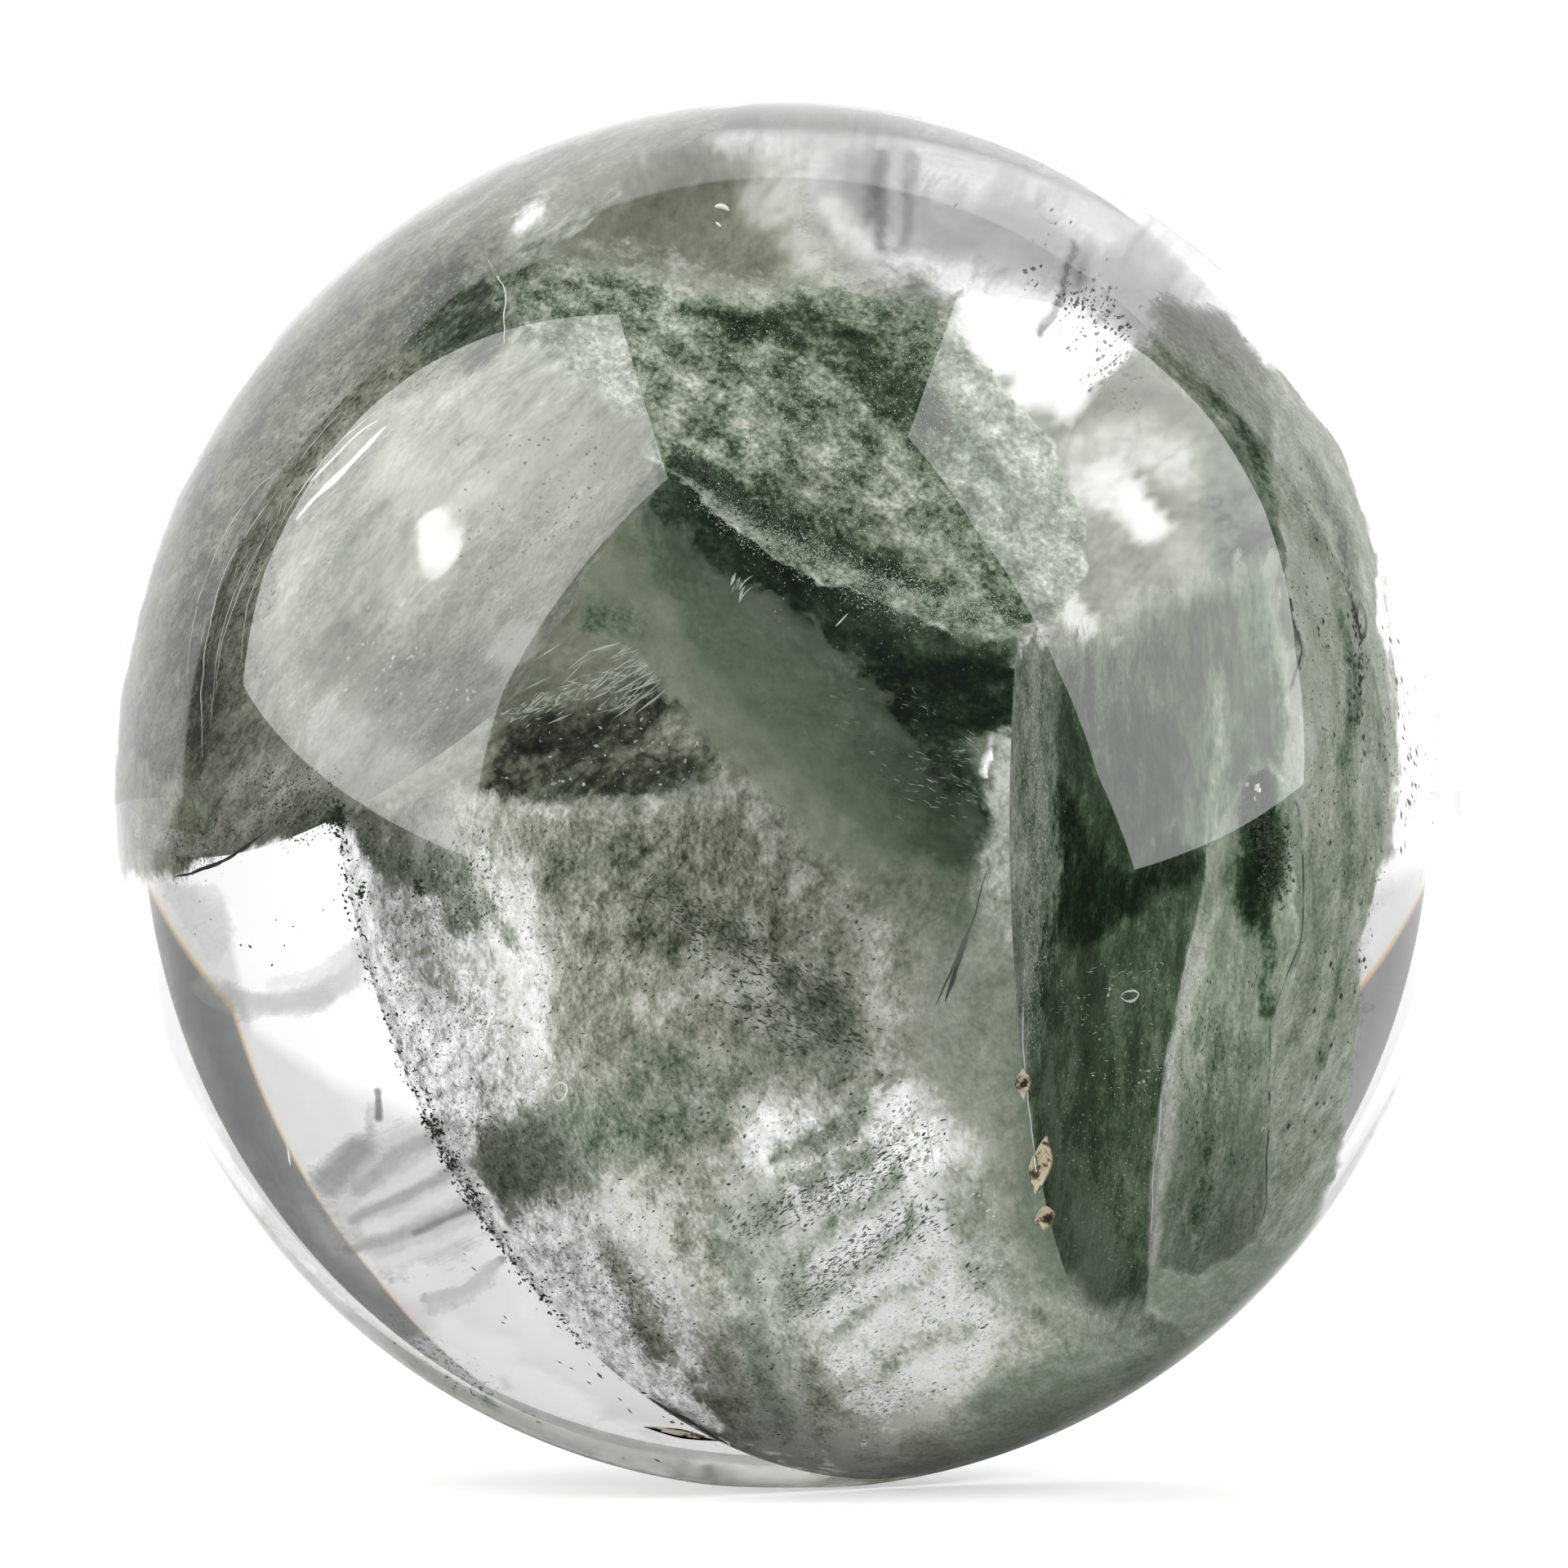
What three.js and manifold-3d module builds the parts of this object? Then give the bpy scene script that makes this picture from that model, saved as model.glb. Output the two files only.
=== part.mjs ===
// A polished ball of clear quartz with sheets of green chlorite grown inside it, hand-ground slightly out of
// round. Each main sheet is a thin solid in a pocket of the quartz, and the quartz is parted in two along a
// plane that crosses every pocket, so that none of them is closed.
// Millimetres, +Z up. The origin is the middle of the small contact flat that the ball stands on.
// The side seen from -Y is the front.

import * as THREE from 'three';
import { mergeVertices } from 'three/addons/utils/BufferGeometryUtils.js';
import Module from 'manifold-3d';

const wasm = await Module();
wasm.setup();

// Driving dimensions of the ball
const LONG_AXIS = 41.1;
const SHORT_AXIS = 40.0;
const LEAN_DEG = 5.6; // how far the top of the long axis leans towards -X
const FOOT_RADIUS = 2.5; // the contact flat, 0.16 mm deep

// How finely the ball is faceted
const MERIDIANS = 72;
const PARALLELS = 36;
const SAME_CORNER = 1e-5; // corners closer than this are one corner

// Colours and finish
const QUARTZ_GREEN_GREY = 0x9fb0a2;
const CHLORITE_GREEN = 0x54694f;
const POLISH_ROUGHNESS = 0.05;
const CHLORITE_ROUGHNESS = 0.85;

// The sheets grown inside the ball
const SHEET_THICKNESS = 0.6;
const POCKET_GAP = 0.3; // between a sheet and its pocket, and between sheets that cross
const SHEET_REACH = 0.955; // how far a sheet may reach towards the skin, as a share of the ball's radius

// Where the quartz is parted: a plane's direction, and its distance from the middle of the ball
const PARTING_NORMAL = [0.77, 0.33, 0.55];
const PARTING_DISTANCE = 2.3;
const PARTING_GAP = 0.3;

// Each sheet is flat. normal and distance place it from the middle of the ball, and outline is its edge
// on that plane: the first number of a point runs level, the second up the slope.
const SHEETS = [
  {
    name: 'main_phantom',
    normal: [0.719, -0.678, 0.151],
    distance: 0.9,
    outline: [[-21, 0], [-11, -0.5], [-1, 0.3], [4, 0], [5.5, 2.7], [12, 2.2], [12, -1], [11, -6], [9, -11],
      [2.5, -17], [-4, -19], [-21, -19]],
  },
  {
    name: 'upper_left_veil',
    normal: [-0.657, -0.394, 0.643],
    distance: 13.9,
    outline: [[-6.5, -12], [0, -13], [7, -12], [11, -7], [11.5, -1], [9, 1], [5, 2], [2, 2.5], [-0.5, 5],
      [-1.5, 9], [-2.5, 10], [-6.5, 4], [-8, -3.5]],
  },
  {
    name: 'back_veil',
    normal: [0.1, -0.985, 0.14],
    distance: -8.4,
    outline: [[-4, 1], [-4, 3.5], [-4.7, 8], [-3.5, 9.5], [0, 10.5], [3, 8.3], [6, 7], [8, 3.3], [7, 2],
      [4.3, -0.5], [0, 1]],
  },
  {
    name: 'sugary_ledge',
    normal: [0.12, -0.8, 0.58],
    distance: 9.6,
    outline: [[-7.4, 9], [-4, 8.2], [-1.7, 7], [2.3, 7], [4.7, 3.5], [6, 0], [5, -1.8], [4, -2.6], [0.4, -1.3],
      [-1.6, 0], [-3.6, 2.6], [-6.6, 4.7]],
  },
  {
    name: 'inner_curtain',
    normal: [0.852, -0.521, 0.05],
    distance: 10.9,
    outline: [[-0.4, -2.2], [1.5, -0.3], [3.6, -0.3], [3.6, -3.7], [2.7, -5.7], [3.7, -11.7], [1.5, -12.9],
      [-1.3, -12.9], [-1.6, -8], [-0.5, -3.7]],
  },
  {
    name: 'seam_wall',
    normal: [0.962, -0.273, -0.01],
    distance: 11.1,
    outline: [[-13.5, 4], [-8, 3], [-4, 2.5], [0, 2.7], [1.3, 0.3], [4.4, -9.8], [0.2, -14.5], [-10, -13.5],
      [-15, -8], [-16.5, 0]],
  },
  {
    name: 'green_mass',
    normal: [0.25, -0.95, 0.2],
    distance: 1.9,
    outline: [[-3.5, 6], [-3, 7], [-1, 5.5], [1, 4], [4.4, 2.8], [3.8, 1], [3.2, -2.3], [1.4, -2], [-1.8, 1.7]],
  },
];

// Open pits on the polished skin, where a grown-over seam and a small flaw meet the surface.
// right and up are the pit's place across the front, as shares of the ball's half width and half height.
// turn is the way its long side runs, in degrees from upright, towards +X.
const PITS = [
  { right: 0.3345, up: -0.3977, length: 1.0, width: 0.45, depth: 0.25, turn: -10 },
  { right: 0.3607, up: -0.5132, length: 2.1, width: 0.7, depth: 0.4, turn: -4 },
  { right: 0.367, up: -0.588, length: 1.1, width: 0.6, depth: 0.3, turn: -20 },
  { right: -0.157, up: -0.9036, length: 2.4, width: 0.6, depth: 0.35, turn: -65 },
];
const PIT_SIDES = 10;
const PIT_RINGS = 6;

// The outline is an ellipse whose long axis leans. Stretching a sphere upright and then sliding its
// levels sideways gives the same ellipse and keeps every level flat, so the foot stays level.
const halfLong = LONG_AXIS / 2;
const halfShort = SHORT_AXIS / 2;
const lean = THREE.MathUtils.degToRad(LEAN_DEG);
const halfHeight = Math.hypot(halfLong * Math.cos(lean), halfShort * Math.sin(lean));
const halfWidth = (halfLong * halfShort) / halfHeight;
const slide = (-(halfLong ** 2 - halfShort ** 2) * Math.sin(lean) * Math.cos(lean)) / halfHeight ** 2;
const footShare = FOOT_RADIUS / halfWidth;
const footLevel = -Math.sqrt(1 - footShare ** 2); // on the unit sphere
const centreHeight = -footLevel * halfHeight;

// Takes a point given for the unit sphere to its place on the ball
function onBall(point) {
  const up = point.z * halfHeight;
  return new THREE.Vector3(
    point.x * halfWidth + slide * up,
    point.y * halfShort,
    up + centreHeight,
  );
}

// Outward direction of the ball's skin at a point given for the unit sphere
function outward(point) {
  return new THREE.Vector3(
    point.x / halfWidth,
    point.y / halfShort,
    (point.z - (slide * halfHeight * point.x) / halfWidth) / halfHeight,
  ).normalize();
}

// Half outline of the unit sphere, from the middle of the foot to the top
function outline() {
  const points = [new THREE.Vector2(0, footLevel)];
  const start = Math.asin(footShare);
  for (let i = 0; i < PARALLELS; i += 1) {
    const angle = start + ((Math.PI - start) * i) / PARALLELS;
    points.push(new THREE.Vector2(Math.sin(angle), -Math.cos(angle)));
  }
  points.push(new THREE.Vector2(0, 1));
  return points;
}

// A closed solid from a geometry, with shared corners merged and collapsed triangles left out
function toSolid(geometry) {
  const plain = geometry.clone();
  plain.deleteAttribute('normal');
  plain.deleteAttribute('uv');
  const merged = mergeVertices(plain, SAME_CORNER);
  const corners = [];
  for (let i = 0; i < merged.index.count; i += 3) {
    const [a, b, c] = [0, 1, 2].map((k) => merged.index.getX(i + k));
    if (a !== b && b !== c && a !== c) corners.push(a, b, c);
  }
  return new wasm.Manifold(new wasm.Mesh({
    numProp: 3,
    vertProperties: new Float32Array(merged.attributes.position.array),
    triVerts: new Uint32Array(corners),
  }));
}

function toGeometry(solid) {
  const mesh = solid.getMesh();
  const geometry = new THREE.BufferGeometry();
  geometry.setAttribute('position', new THREE.BufferAttribute(mesh.vertProperties, 3));
  geometry.setIndex(new THREE.BufferAttribute(mesh.triVerts, 1));
  geometry.computeVertexNormals();
  return geometry;
}

// The whole ball, or a smaller one of the same shape round the same middle
function ballSolid(share) {
  const geometry = new THREE.LatheGeometry(outline(), MERIDIANS);
  geometry.rotateX(Math.PI / 2);
  geometry.scale(share, share, share);
  const places = geometry.attributes.position;
  for (let i = 0; i < places.count; i += 1) {
    const placed = onBall(new THREE.Vector3().fromBufferAttribute(places, i));
    places.setXYZ(i, placed.x, placed.y, placed.z);
  }
  return toSolid(geometry);
}

// The long rounded tool that scoops one pit out of the skin
function pitSolid(pit) {
  const front = -Math.sqrt(1 - pit.right ** 2 - pit.up ** 2);
  const spot = new THREE.Vector3(pit.right, front, pit.up);
  const out = outward(spot);
  const side = new THREE.Vector3(0, 0, 1).cross(out).normalize();
  const along = out.clone().cross(side);
  along.applyAxisAngle(out, -THREE.MathUtils.degToRad(pit.turn));
  const across = along.clone().cross(out);
  const geometry = new THREE.SphereGeometry(1, PIT_SIDES, PIT_RINGS);
  geometry.scale(pit.width / 2, pit.length / 2, pit.depth);
  const turned = new THREE.Matrix4().makeBasis(across, along, out);
  turned.setPosition(onBall(spot));
  geometry.applyMatrix4(turned);
  return toSolid(geometry);
}

// An outline with each corner moved outwards, so that every side moves by the given distance
function grownOutline(outline, distance) {
  const corners = outline.map(([x, y]) => new THREE.Vector2(x, y));
  const outwards = THREE.ShapeUtils.isClockWise(corners) ? -1 : 1;
  return corners.map((corner, i) => {
    const before = corners[(i + corners.length - 1) % corners.length];
    const after = corners[(i + 1) % corners.length];
    const arrive = corner.clone().sub(before).normalize();
    const leave = after.clone().sub(corner).normalize();
    const bisector = new THREE.Vector2(arrive.y + leave.y, -arrive.x - leave.x).normalize();
    const reach = (outwards * distance) / (bisector.x * leave.y - bisector.y * leave.x);
    return corner.clone().addScaledVector(bisector, reach);
  });
}

// One flat sheet, or with a gap round it the pocket that it lies in
function sheetSolid(sheet, gap) {
  const depth = SHEET_THICKNESS + 2 * gap;
  const shape = new THREE.Shape(grownOutline(sheet.outline, gap));
  const geometry = new THREE.ExtrudeGeometry(shape, { depth, bevelEnabled: false });
  geometry.translate(0, 0, -depth / 2);
  const normal = new THREE.Vector3(...sheet.normal).normalize();
  const level = new THREE.Vector3(0, 0, 1).cross(normal).normalize();
  const upSlope = normal.clone().cross(level);
  const placed = new THREE.Matrix4().makeBasis(level, upSlope, normal);
  placed.setPosition(normal.multiplyScalar(sheet.distance).add(new THREE.Vector3(0, 0, centreHeight)));
  geometry.applyMatrix4(placed);
  return toSolid(geometry).intersect(ballSolid(SHEET_REACH + gap / halfShort));
}

// The half space on one side of the parting plane, with half of the gap left free
function besideParting(side) {
  const width = 4 * halfLong;
  const geometry = new THREE.BoxGeometry(width, width, width);
  geometry.translate(0, 0, (side * (width + PARTING_GAP)) / 2);
  const normal = new THREE.Vector3(...PARTING_NORMAL).normalize();
  geometry.applyQuaternion(new THREE.Quaternion().setFromUnitVectors(new THREE.Vector3(0, 0, 1), normal));
  geometry.translate(...normal.multiplyScalar(PARTING_DISTANCE).add(new THREE.Vector3(0, 0, centreHeight)));
  return toSolid(geometry);
}

// The largest body of a cut solid, without the offcuts
function mainBody(solid) {
  const bodies = solid.decompose();
  return bodies.reduce((largest, body) => (body.volume() > largest.volume() ? body : largest));
}

function namedMesh(name, solid, color, roughness) {
  const material = new THREE.MeshStandardMaterial({ color, roughness, metalness: 0 });
  const mesh = new THREE.Mesh(toGeometry(solid), material);
  mesh.name = name;
  return mesh;
}

// The sheets, each cut back from the pockets of those before it
function sheetMeshes() {
  return SHEETS.map((sheet, i) => {
    let solid = sheetSolid(sheet, 0);
    for (const earlier of SHEETS.slice(0, i)) solid = solid.subtract(sheetSolid(earlier, POCKET_GAP));
    return namedMesh(sheet.name, mainBody(solid), CHLORITE_GREEN, CHLORITE_ROUGHNESS);
  });
}

// The quartz with its pits and pockets, parted in two
function quartzMeshes() {
  let solid = ballSolid(1);
  for (const pit of PITS) solid = solid.subtract(pitSolid(pit));
  for (const sheet of SHEETS) solid = solid.subtract(sheetSolid(sheet, POCKET_GAP));
  const lower = mainBody(solid.intersect(besideParting(-1)));
  const upper = mainBody(solid.intersect(besideParting(1)));
  return [
    namedMesh('quartz_ball', lower, QUARTZ_GREEN_GREY, POLISH_ROUGHNESS),
    namedMesh('quartz_cap', upper, QUARTZ_GREEN_GREY, POLISH_ROUGHNESS),
  ];
}

const part = new THREE.Group();
part.add(...quartzMeshes(), ...sheetMeshes());

export default part;
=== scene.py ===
# Looks of a polished ball of clear quartz with chlorite grown inside it.
# The ball stands on its small contact flat, and the front is the side seen from -Y.
# Lengths are millimetres unless a comment says otherwise.

import math

import bpy
import numpy as np
from bpy.props import FloatProperty, FloatVectorProperty, IntProperty, PointerProperty
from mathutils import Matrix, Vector


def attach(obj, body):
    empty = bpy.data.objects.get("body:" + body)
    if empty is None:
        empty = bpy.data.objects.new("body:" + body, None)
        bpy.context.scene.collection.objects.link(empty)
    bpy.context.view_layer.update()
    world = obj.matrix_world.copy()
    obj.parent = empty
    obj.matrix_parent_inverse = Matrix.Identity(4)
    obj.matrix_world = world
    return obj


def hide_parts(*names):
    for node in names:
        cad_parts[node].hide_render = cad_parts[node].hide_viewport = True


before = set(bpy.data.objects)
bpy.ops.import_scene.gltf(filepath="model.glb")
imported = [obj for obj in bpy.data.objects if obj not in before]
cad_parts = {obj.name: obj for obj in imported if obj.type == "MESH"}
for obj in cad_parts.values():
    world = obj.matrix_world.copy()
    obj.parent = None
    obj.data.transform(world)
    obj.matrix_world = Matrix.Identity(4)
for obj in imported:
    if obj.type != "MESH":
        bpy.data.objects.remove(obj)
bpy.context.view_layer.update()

bl_info = {
    "name": "Chlorite Quartz Ball",
    "version": (1, 0, 0),
    "blender": (4, 5, 0),
    "location": "View3D > Sidebar > Quartz Ball",
    "description": "Builds a polished quartz ball with chlorite growth inside it, and a plain studio",
    "category": "Add Mesh",
}

MM = 0.001
KEEP = -1  # a stroke value that leaves the growth as it is

# Shape of the ball: an ellipse whose long axis leans a little to the left
LONG_AXIS = 41.1
SHORT_AXIS = 40.0
LEAN_DEG = 5.6
FOOT_RADIUS = 2.5
FOOT_CUT = 1e-6  # metres above the floor
WELD_DISTANCE = 1e-7  # metres
SMOOTH_ANGLE_DEG = 30
UP = (0.0, 0.0, 1.0)

# Open pits and their crust
PIT_SEGMENTS = 24
PIT_RINGS = 14
PIT_POINT = 0.75  # how far the ends of a pit are drawn in
PIT_POINT_POWER = 1.3
CRUST_GROWTH = 0.03  # how far a crust lies under its pit
CRUST_LIMIT = 0.9985  # share of the ball's radius that the crust may reach

# Limits of the growth
INSIDE_LIMIT = 0.985  # share of the ball's radius that the growth may reach
SHEET_TOLERANCE = 0.002
THINNEST_COVER = 0.02
GRAIN_LIMIT = 0.99
LOWEST_GRAIN = 0.2
STROKE_MARGIN = 1.2  # room round the strokes of a small sheet
TINY_LENGTH = 1e-9
MIDDLE_LENGTH = 1e-6

# Random pattern that moves the sheets and their strokes
LATTICE_PRIMES = (374761393, 668265263, 2147483647)
SEED_PRIME = 974711
MIX_PRIME = 1274126177
LARGEST_NUMBER = 0xFFFF
OCTAVE_WEIGHT = 0.5
OCTAVE_SCALE = 2.03
OCTAVE_SHIFT = 7.7

# Uneven height of each sheet, and the wavering of its strokes: size, seeds and strength
SWELL_SIZE = 4.0
SWELL_SEED = 77
SWELL_HEIGHT = 1.2
WANDER_SIZE = 1.8
WANDER_SEEDS = (11, 23)
RIPPLE_SIZE = 0.45
RIPPLE_SEEDS = (31, 43)
RIPPLE_STRENGTH = 0.45
LINE_CORE = 0.3  # shares of the softness over which a line stroke fades
LINE_FADE = 1.25

# Grains
GRAIN_SEED = 1000
GRAIN_SPREAD = 0.6
GRAIN_DEPTH = 0.5
GRAIN_SIZE_POWER = 2.5  # more small grains than large ones
GRAIN_TILT = 0.22
GRAIN_WIDTHS = (0.6, 1.0)
GRAIN_THICKNESSES = (0.35, 0.9)
GRAIN_OVERSUPPLY = 8
GRAIN_CLOUD_SIZE = 1.4
GRAIN_CLOUD_SEED = 91
GRAIN_CLOUD_EDGES = (0.30, 0.68)
STRAY_GRAINS = 0.05

# Cracks
CRACK_SPACING = 0.12
CRACK_ROUNDINGS = 2
CRACK_LEAST_POINTS = 6
CRACK_WIDTH_SIZE = 0.5
CRACK_WIDTH_SEED = 300
CRACK_BEND_SIZE = 1.1
CRACK_BEND_SEED = 400
CRACK_BEND = 0.22
CRACK_THICKNESS = 0.02
CRACK_TIP = 0.02
CRACK_WIDTHS = (0.35, 1.3)  # thinnest share of the width, and how much is added to it

# Softboxes, floor and camera
SOFTBOX_DISTANCE = 0.6  # metres
CARD_HEIGHT = 0.0002  # metres above the floor
FLOOR_RADIUS = 3.0  # metres
FLOOR_CORNERS = 96
SENSOR_WIDTH = 36
CAMERA_PLACE = (-0.06, -400.0, 20.713)

# Open pits on the skin: place across the front as shares, then length, width, depth and turn in degrees
PITS = [
    (0.3345, -0.3977, 1, 0.45, 0.25, -10),
    (0.3607, -0.5132, 2.1, 0.7, 0.4, -4),
    (0.367, -0.588, 1.1, 0.6, 0.3, -20),
    (-0.157, -0.9036, 2.4, 0.6, 0.35, -65),
]

# Ragged left edge of the main phantom, on its sheet
RAGGED_EDGE = [
    (-20.17, -0.17), (-19.93, -0.75), (-19.35, -3.7), (-18.95, -6.28), (-18.17, -7.78),
    (-17.26, -8.73), (-16.61, -10.98), (-15.18, -12.4), (-13.85, -14.28), (-12.91, -15.07),
    (-10.72, -17.61), (-8.36, -18.61), (-6.58, -19.32),
]

# Outline of the sugary ledge, on its sheet
LEDGE_OUTLINE = [
    (-7.24, 8.4), (-5.41, 8.12), (-2.77, 7.17), (-1.3, 7.04), (0.16, 6.95), (2.33, 6.75), (3.35, 5.66),
    (4.68, 3.3), (5.81, 0.7), (5.22, -2.02), (4.09, -2.79), (2.29, -2.18), (0.42, -1.54),
    (-1.59, -0.39), (-2.62, 0.76), (-3.61, 2.36), (-5.03, 3.57), (-6.53, 4.58),
]

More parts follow.
